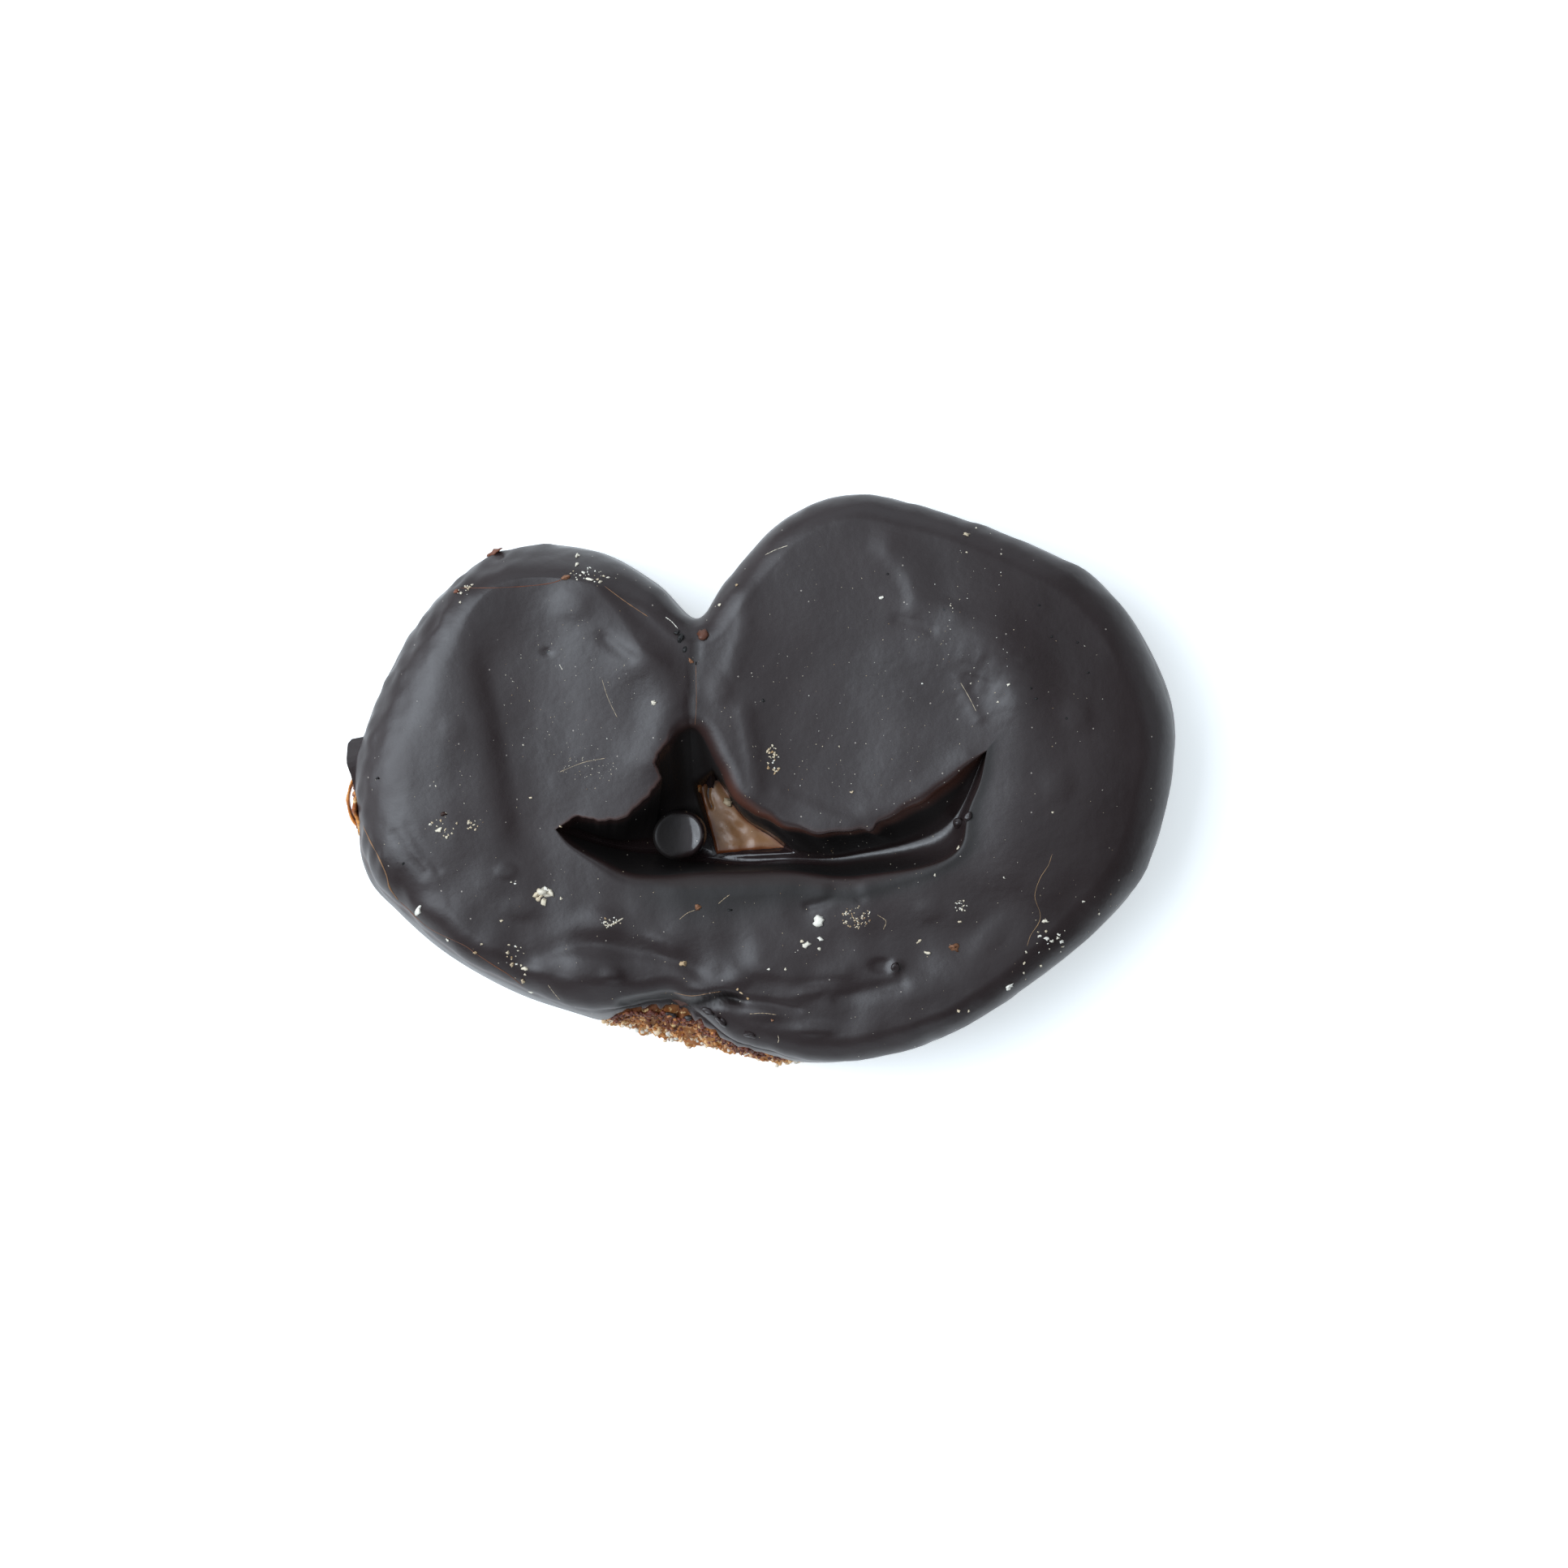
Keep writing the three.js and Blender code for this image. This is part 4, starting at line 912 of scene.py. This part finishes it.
# ---- crumbs, flakes and dust --------------------------------------------------------------------
# Bits of sugar, dough and chocolate that fell on the coat: rough lumps and flakes. Tone runs from
# white sugar at 0 over cream, tan and brown to black chocolate at 1.
# Crumbs: place, length, width, turn in degrees and tone.
CRUMBS = [
    (-13.3, 9.9, 0.9, 0.7, 20, 0.0), (-29.2, -2.3, 0.5, 0.4, 0, 0.25), (-30.2, 4.5, 0.35, 0.3, 0, 0.1),
    (-41.4, -0.8, 0.35, 0.3, 0, 0.1), (-49.1, 0.2, 0.6, 0.5, 0, 1.0), (-45.7, -10.8, 0.5, 0.5, 0, 1.0),
    (-40.4, -4.4, 0.9, 0.6, 30, 0.95), (-40.1, -4.3, 0.4, 0.3, 0, 0.05),
    (-37.2, -5.6, 0.6, 0.4, 20, 0.15), (-36.9, -6.1, 0.5, 0.4, 80, 0.3),
    (-36.5, -5.8, 0.45, 0.3, 10, 0.1), (-36.3, -6.4, 0.5, 0.4, 50, 0.2),
    (-42.2, -5.8, 0.6, 0.4, 0, 0.1), (-41.0, -6.5, 1.0, 0.7, 30, 0.05),
    (-40.0, -7.4, 0.6, 0.5, 10, 0.15), (-38.7, -5.6, 0.5, 0.4, 60, 0.2),
    (-38.9, 24.3, 0.8, 0.6, 0, 0.75), (-38.2, 24.1, 0.5, 0.4, 0, 0.1),
    (-37.2, 24.8, 0.6, 0.4, 20, 0.15), (-36.8, 25.2, 0.5, 0.3, 0, 0.1),
    (-38.3, 22.9, 0.5, 0.4, 0, 0.05), (-24.7, 26.1, 1.1, 0.6, 20, 0.7),
    (-23.3, 27.8, 0.8, 0.5, 60, 0.1), (-22.4, 26.7, 0.7, 0.5, 10, 0.05),
    (-21.5, 25.8, 0.9, 0.5, -20, 0.1), (-20.2, 25.5, 0.7, 0.4, 30, 0.15),
    (-19.2, 26.1, 0.6, 0.4, 0, 0.1), (-34.0, 29.5, 2.0, 1.4, 10, 0.75),
    (-23.3, 29.0, 0.9, 0.5, 70, 0.05), (-52.8, -1.5, 0.6, 0.4, 80, 0.05),
    (-52.9, -3.0, 0.7, 0.4, 85, 0.1), (-52.7, -4.4, 0.6, 0.4, 70, 0.05),
    (-32.0, -21.3, 0.5, 0.4, 0, 0.2), (-32.2, -22.3, 0.7, 0.5, 30, 0.2),
    (-31.6, -23.8, 0.8, 0.6, 60, 0.25), (-30.0, -24.4, 0.9, 0.6, 20, 0.2),
    (-30.3, -26.0, 0.8, 0.6, 80, 0.25), (-29.3, -27.5, 0.9, 0.5, 20, 0.0),
    (-40.0, -20.7, 0.6, 0.5, 0, 0.05), (-36.4, -22.3, 0.7, 0.5, 40, 0.45),
    (-35.5, -21.2, 0.5, 0.4, 0, 0.2), (-9.8, 18.2, 1.1, 0.8, 70, 1.0), (-10.3, 19.0, 0.9, 0.6, 60, 1.0),
    (-9.3, 16.8, 0.9, 0.5, 80, 1.0), (-8.5, 15.3, 0.8, 0.5, 130, 0.7), (-7.9, 15.0, 0.5, 0.4, 0, 1.0),
    (-4.8, 22.6, 0.6, 0.4, 0, 0.05), (-2.6, 25.1, 0.6, 0.4, 30, 0.45), (0.8, 10.2, 0.6, 0.5, 0, 1.0),
    (16.8, 26.5, 0.4, 0.4, 0, 1.0), (16.1, 23.5, 0.7, 0.5, 0, 0.05), (31.0, 10.0, 0.5, 0.4, 0, 0.1),
    (32.3, 12.2, 0.5, 0.4, 30, 0.1), (27.5, 12.4, 0.35, 0.3, 0, 0.0), (21.3, 12.4, 0.35, 0.3, 0, 0.0),
    (36.3, 22.5, 0.45, 0.4, 0, 1.0), (41.3, 17.7, 0.45, 0.4, 0, 1.0), (42.7, 13.8, 0.45, 0.4, 0, 1.0),
    (35.8, 10.4, 0.45, 0.4, 0, 1.0), (35.2, 11.8, 0.4, 0.35, 0, 1.0), (39.8, 7.9, 0.45, 0.4, 0, 1.0),
    (37.9, 18.4, 0.4, 0.4, 0, 1.0), (27.0, 31.6, 1.0, 0.5, 0, 0.3), (31.5, 29.1, 0.4, 0.3, 0, 0.1),
    (27.0, 29.3, 0.35, 0.3, 0, 0.1), (24.9, 22.4, 0.35, 0.3, 0, 0.1), (28.3, 32.5, 0.4, 0.3, 0, 0.1),
    (12.2, -1.6, 0.5, 0.4, 0, 0.35), (10.6, 4.3, 0.35, 0.3, 0, 0.1), (38.0, -4.2, 0.4, 0.35, 0, 0.05),
    (-6.9, 18.6, 1.9, 1.5, 80, 0.86), (-3.9, -2.9, 1.4, 1.2, 0, 0.38), (-25.4, -6.0, 0.5, 0.4, 0, 0.35),
    (26.0, -8.8, 0.8, 0.5, 60, 0.05), (-31.7, -13.2, 0.4, 0.3, 0, 0.0),
    (-31.2, -13.4, 0.3, 0.3, 0, 0.0), (-27.5, -14.5, 2.2, 1.1, 10, 0.12),
    (-28.3, -14.6, 1.3, 0.9, 60, 0.2), (-26.8, -14.4, 1.2, 0.8, -40, 0.1),
    (-27.5, -15.8, 1.3, 0.7, 85, 0.15), (-27.2, -14.2, 1.0, 0.8, 0, 0.0),
    (-28.0, -15.2, 0.9, 0.6, 40, 0.3), (-25.3, -15.3, 0.6, 0.4, 0, 0.1),
    (-43.7, -16.7, 1.2, 0.7, 50, 0.0), (-33.0, -18.2, 0.6, 0.4, 0, 0.2),
    (-9.6, -23.7, 1.0, 0.8, 20, 0.45), (-7.6, -16.5, 1.0, 0.7, 20, 0.7),
    (-3.5, -16.8, 0.7, 0.4, 0, 1.0), (-2.5, -27.0, 0.6, 0.35, 20, 0.45),
    (-2.0, -27.5, 0.7, 0.3, -40, 0.4), (-1.2, -28.2, 0.6, 0.35, -30, 0.5),
    (8.0, -18.2, 1.6, 1.3, 20, 0.0), (6.3, -21.3, 0.9, 0.7, 0, 0.0), (8.2, -20.5, 0.8, 0.6, 30, 0.0),
    (8.0, -21.8, 0.7, 0.5, 0, 0.05), (5.8, -20.8, 0.6, 0.5, 0, 0.1), (1.5, -24.4, 0.6, 0.4, 0, 0.05),
    (3.7, -24.4, 0.6, 0.4, 0, 0.05), (26.1, -18.3, 0.5, 0.4, 0, 0.15), (22.9, -12.3, 0.5, 0.4, 0, 0.15),
    (20.9, -20.8, 0.8, 0.4, 40, 0.15), (22.0, -22.3, 0.8, 0.5, 0, 0.2), (25.3, -21.6, 1.6, 1.1, 0, 0.7),
    (31.8, -12.6, 0.4, 0.4, 0, 0.05), (42.1, -15.7, 0.5, 0.4, 0, 0.05), (44.2, -17.3, 0.5, 0.4, 0, 0.1),
    (37.2, -18.2, 0.8, 0.6, 0, 0.1), (37.3, -20.5, 0.8, 0.6, 20, 0.0), (38.0, -20.8, 0.7, 0.5, 0, 0.0),
    (39.3, -20.9, 0.8, 0.6, 0, 0.0), (39.0, -20.0, 0.6, 0.5, 0, 0.0), (34.7, -22.2, 0.5, 0.4, 0, 0.15),
    (34.5, -23.6, 0.5, 0.4, 30, 0.15), (34.4, -24.9, 0.5, 0.4, 0, 0.15),
    (36.7, -24.0, 0.5, 0.4, 0, 0.2), (32.5, -26.7, 1.2, 0.8, 30, 0.0), (26.0, -29.8, 0.6, 0.5, 0, 0.2),
    (27.3, -29.8, 0.5, 0.4, 0, 0.2), (2.0, -31.0, 0.5, 0.4, 0, 0.7),
]
# Patches of finer grains: middle, radii, number, largest size and tone.
GRAINS = [
    (2.0, 2.3, 0.9, 2.2, 28, 0.42, 0.4), (12.8, -17.7, 1.9, 1.5, 70, 0.24, 0.45),
    (-19.0, -18.3, 1.5, 0.8, 22, 0.28, 0.2), (26.3, -16.3, 0.8, 0.8, 16, 0.3, 0.2),
    (-36.8, -6.0, 0.9, 0.8, 12, 0.28, 0.4), (-40.5, -6.0, 1.6, 1.6, 14, 0.28, 0.4),
    (-22.0, 1.5, 4.0, 1.6, 40, 0.12, 0.3), (-24.0, 12.0, 9.0, 9.0, 80, 0.12, 0.3),
    (38.0, -20.0, 3.0, 3.0, 14, 0.3, 0.2), (27.0, 20.0, 8.0, 10.0, 50, 0.14, 0.2),
    (8.0, 4.0, 14.0, 14.0, 80, 0.12, 0.3), (-38.0, 24.4, 1.4, 0.8, 12, 0.3, 0.2),
    (-22.0, 26.4, 2.4, 1.0, 22, 0.3, 0.15), (-31.0, -23.6, 1.4, 2.4, 16, 0.28, 0.35),
    (1.0, -3.0, 52.0, 34.0, 380, 0.11, 0.4),
]


def crumb_rows():
    """All crumbs and grains as rows of place, three sizes, turn and tone. Grains scatter evenly in
    their ellipses, mostly well below their largest size, and vary in tone."""
    rng = np.random.default_rng(51)
    x, y, length, width, turn, tone = np.array(CRUMBS).T
    shrink = 0.62 + 0.23 * ease(0.5, 1.0, length)
    tone = tone + rng.uniform(0, 0.16, len(tone)) * (tone < 0.3)
    high = 0.5 * np.minimum(width, 1.1)
    rows = list(zip(x, y, shrink * length, shrink * width, high, turn, tone))
    for x, y, rx, ry, count, largest, tone in GRAINS:
        angle, out = rng.uniform(0, 2 * np.pi, count), np.sqrt(rng.uniform(0, 1, count))
        size = largest * rng.uniform(0.4, 1, count)
        shade = np.clip(0.7 * tone + 0.12 * rng.normal(size=count), 0, 0.9)
        rows += zip(x + rx * out * np.cos(angle), y + ry * out * np.sin(angle), size,
                    size * rng.uniform(0.5, 1, count), 0.5 * size, rng.uniform(0, 180, count), shade)
    return np.array(rows)


def crumbs_and_sugar(name, cream, tan, brown):
    """Sugar and baked crumbs, from white over cream, tan and brown to black by their tone; rough."""
    made, tree, shader = finish_of(name)
    tone = node(tree, "Attribute", attribute_name="tone").outputs["Fac"]
    ramp = node(tree, "ValToRGB", {"Fac": tone})
    stops = ramp.color_ramp.elements
    stops[0].color = linear("#ece8dd")
    stops[1].color = linear("#080504")
    for place, colour in ((0.25, cream), (0.5, tan), (0.75, brown)):
        stops.new(place).color = linear(colour)
    tree.links.new(ramp.outputs["Color"], shader.inputs["Base Color"])
    shader.inputs["Roughness"].default_value = 0.55
    return made


crumb_finish = crumbs_and_sugar("sugar_and_crumbs", "#d3c5ab", "#ab8a62", "#71402a")
all_crumbs = crumb_rows()
crumb_place, crumb_facing, crumb_lands = landing(all_crumbs[:, 0], all_crumbs[:, 1])
lying = all_crumbs[crumb_lands]
crumbs = lump_piece("crumbs", crumb_place[crumb_lands], crumb_facing[crumb_lands], lying[:, 2:5],
                    lying[:, 5], tone=lying[:, 6], rough=0.38, detail=2, seed=52)
crumbs.data.materials.append(crumb_finish)
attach(crumbs, "root")

# ---- grains of the bare crust -------------------------------------------------------------------
# Sugar and flour baked on to the dough as grains, where the chocolate has left it bare.
GRAIN_COUNT = 1700


def grains_piece(name):
    """Grains at random spots of the dough's bare side where the chocolate's rim hangs high, denser
    towards its top, each between two columns. They turn every way and darken with their height."""
    rng = np.random.default_rng(53)
    lift = rim_lift(bare_side[..., 0], bare_side[..., 1])
    column = rng.choice(np.nonzero(lift[:, 0] > 2.5)[0], GRAIN_COUNT)
    row = (bare_side.shape[1] * rng.uniform(0, 1, GRAIN_COUNT) ** 1.5).astype(int)
    here, there = bare_side[column, row], bare_side[(column + 1) % COLUMNS, row]
    spot = mix(here, there, rng.uniform(0, 1, (GRAIN_COUNT, 1)))
    size = rng.uniform(0.3, 0.8, (GRAIN_COUNT, 1)) * rng.uniform(0.6, 1, (GRAIN_COUNT, 3))
    tone = 0.1 + 0.72 * ease(2.5, 9.5, spot[:, 2]) + rng.normal(0, 0.18, GRAIN_COUNT)
    facing = unit(rng.normal(size=spot.shape))
    turn = rng.uniform(0, 180, GRAIN_COUNT)
    return lump_piece(name, spot, facing, size, turn, np.clip(tone, 0, 0.84), 0.2, detail=2, seed=54)


grains = grains_piece("crust_grains")
grains.data.materials.append(crumbs_and_sugar("caramelised_sugar", "#e6c08c", "#bd7a3c", "#6e3320"))
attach(grains, "root")

# ---- threads and scratches ----------------------------------------------------------------------
# Thin lines on the coat: scratches, drawn threads of sugar, a hair of chocolate, the brown edge lines where
# the coat was stretched, and a tan line along the crack that is a painted highlight. Each is a curve in
# plan, its width and its tone.
THREADS = [
    ([(-20.0, 13.0), (-19.2, 10.5), (-18.0, 8.0)], 0.05, 0.35),
    ([(-25.5, 1.0), (-22.5, 2.2), (-19.5, 2.8)], 0.05, 0.35),
    ([(-25.5, 14.9), (-25.3, 14.5), (-25.1, 14.2)], 0.1, 0.1),
    ([(-38.5, 24.8), (-33.0, 24.8), (-27.0, 25.3), (-24.0, 26.3)], 0.1, 0.75),
    ([(-19.7, 25.0), (-17.0, 23.0), (-14.0, 21.0)], 0.1, 0.65),
    ([(-27.0, -26.5), (-26.3, -27.5), (-25.5, -28.5)], 0.07, 0.3),
    ([(-51.2, -5.8), (-50.0, -8.2), (-49.0, -10.0), (-48.0, -12.3), (-47.6, -14.0), (-46.5, -15.7)],
     0.2, 0.63),
    ([(-46.5, -15.7), (-45.0, -17.0), (-44.0, -18.0), (-42.0, -19.5), (-38.0, -21.3), (-36.5, -22.3),
      (-34.0, -24.0), (-32.0, -25.3), (-30.0, -27.0)], 0.11, 0.72),
    # Painted highlight: a tan line along the upper side of the crack.
    ([(-10.8, -27.5), (-8.5, -27.9), (-6.0, -27.5), (-4.6, -27.3)], 0.09, 0.6),
    ([(-11.8, 21.0), (-11.0, 20.4), (-10.2, 19.5)], 0.12, 0.05),
    ([(-7.9, 15.0), (-7.8, 10.0), (-8.0, 7.0)], 0.05, 0.7),
    ([(1.0, 29.0), (2.5, 29.7), (4.0, 30.2)], 0.08, 0.2),
    ([(26.2, 12.5), (27.3, 10.6), (28.2, 8.8)], 0.07, 0.3),
    ([(38.0, -9.5), (37.5, -11.0), (36.4, -12.8), (35.8, -15.0), (36.5, -17.2), (36.3, -18.5),
      (35.3, -20.0), (34.8, -21.5)], 0.06, 0.55),
    ([(-19.6, -18.8), (-18.6, -18.6), (-17.2, -17.8)], 0.26, 0.2),
    ([(-10.0, -18.0), (-9.0, -17.2), (-8.0, -16.8)], 0.07, 0.4),
    ([(-5.0, -16.0), (-4.2, -15.3), (-3.5, -14.8)], 0.07, 0.4),
    ([(15.5, -17.4), (16.6, -18.2), (16.3, -19.3)], 0.06, 0.4),
    ([(2.7, -33.0), (2.8, -33.5), (2.7, -34.0)], 0.08, 0.3),
    ([(-1.0, -30.2), (0.8, -30.1), (2.5, -30.3)], 0.06, 0.4),
]


def thread_grid(points, width, seed):
    """A four-sided tube laid along the curve, half sunk in what it lies on and thinner in places."""
    t = steps(70)
    path = spline(points, t)
    place, facing, _ = landing(path[:, 0], path[:, 1])
    along = unit(np.gradient(place, axis=0))
    side = np.cross(along, facing)
    thick = (width / 2 * (0.75 + 0.25 * waves(t * 10, 0, 1.7, seed)))[:, None]
    thick = thick * ease(0, 0.05, np.minimum(t, 1 - t))[:, None] + 0.005
    corners = [place - side * thick, place + facing * thick, place + side * thick, place - facing * thick]
    return np.stack(corners, 1)


def threads_piece(name):
    """All threads in one mesh, each closed by a face at either end."""
    points, faces, tones = [], [], []
    for number, (curve, width, tone) in enumerate(THREADS):
        grid = thread_grid(curve, width, 60 + number)
        count = len(grid)
        index = np.arange(count * 4).reshape(count, 4) + sum(len(p) for p in points)
        after = np.roll(index, -1, 1)
        faces.append(np.stack([index[:-1], after[:-1], after[1:], index[1:]], -1).reshape(-1, 4))
        faces.append(index[[0, -1]])
        points.append(grid.reshape(-1, 3))
        tones.append(np.full(count * 4, tone))
    made = piece(name, np.concatenate(points), np.concatenate(faces), tone=np.concatenate(tones))
    face_out(made)
    return made


threads = threads_piece("threads")
threads.data.materials.append(crumb_finish)
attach(threads, "root")

# ---- the setting --------------------------------------------------------------------------------
# A white table in soft daylight. The strongest light comes from the upper left, with a narrow
# brighter core, and fainter ones from above, the back, the front and the right fill it in.
TABLE_REACH = 1500
DAYLIGHT = (0.82, 0.91, 1.0)
ROOM_LIGHT = (0.065, 0.07, 0.075, 1)


def plain_white():
    """White card, matt, that glows a little so that it stays white between the lights."""
    made, _, shader = finish_of("plain_white")
    shader.inputs["Base Color"].default_value = (0.9, 0.9, 0.9, 1)
    shader.inputs["Roughness"].default_value = 0.9
    shader.inputs["Emission Color"].default_value = (0.9, 0.97, 1, 1)
    shader.inputs["Emission Strength"].default_value = 0.5
    return made


table_corners = TABLE_REACH * np.array([(-1, -1, 0), (1, -1, 0), (1, 1, 0), (-1, 1, 0)])
table = piece("table", table_corners, np.array([[0, 1, 2, 3]]))
table.data.materials.append(plain_white())


def soft_light(name, direction, distance, size, power, length=None):
    """A rectangular light at a distance from the pastry, facing it, as long as wide by default."""
    lamp = bpy.data.lights.new(name, "AREA")
    lamp.shape, lamp.size, lamp.size_y = "RECTANGLE", size, length or size
    lamp.energy, lamp.color = power, DAYLIGHT
    made = bpy.data.objects.new(name, lamp)
    way = np.array(direction) / np.linalg.norm(direction)
    made.location = way * distance
    made.rotation_euler = Vector(way).to_track_quat("Z", "Y").to_euler()
    bpy.context.scene.collection.objects.link(made)


soft_light("key", (-0.67, 0.12, 0.74), 1.1, 1.0, 15.5)
soft_light("key_core", (-0.72, 0.12, 0.72), 1.05, 0.2, 1.5)
soft_light("top", (0.0, 0.05, 1.0), 1.5, 1.4, 5.6)
soft_light("back", (0.05, 0.86, 0.51), 1.2, 1.3, 4.2, 0.8)
soft_light("front", (0.05, -0.93, 0.36), 1.2, 1.2, 2.4, 0.5)
soft_light("right", (0.92, 0.1, 0.37), 1.1, 0.9, 0.8, 0.16)
world = bpy.data.worlds.new("studio")
world.use_nodes = True
world.node_tree.nodes["Background"].inputs["Color"].default_value = ROOM_LIGHT
bpy.context.scene.world = world
bpy.context.scene.view_settings.view_transform = "Standard"

# The camera looks straight down from 700 mm, and its frame is 206.9 mm wide on the table.
CAMERA_HEIGHT = 0.7
FRAME_WIDTH = 0.2069
FRAME_MIDDLE = (0.00348, -0.00054)
SENSOR_WIDTH = 36
camera = bpy.data.cameras.new("camera")
camera.sensor_width = SENSOR_WIDTH
camera.lens = SENSOR_WIDTH * CAMERA_HEIGHT / FRAME_WIDTH
camera_stand = bpy.data.objects.new("camera", camera)
camera_stand.location = (*FRAME_MIDDLE, CAMERA_HEIGHT)
bpy.context.scene.collection.objects.link(camera_stand)
bpy.context.scene.camera = camera_stand
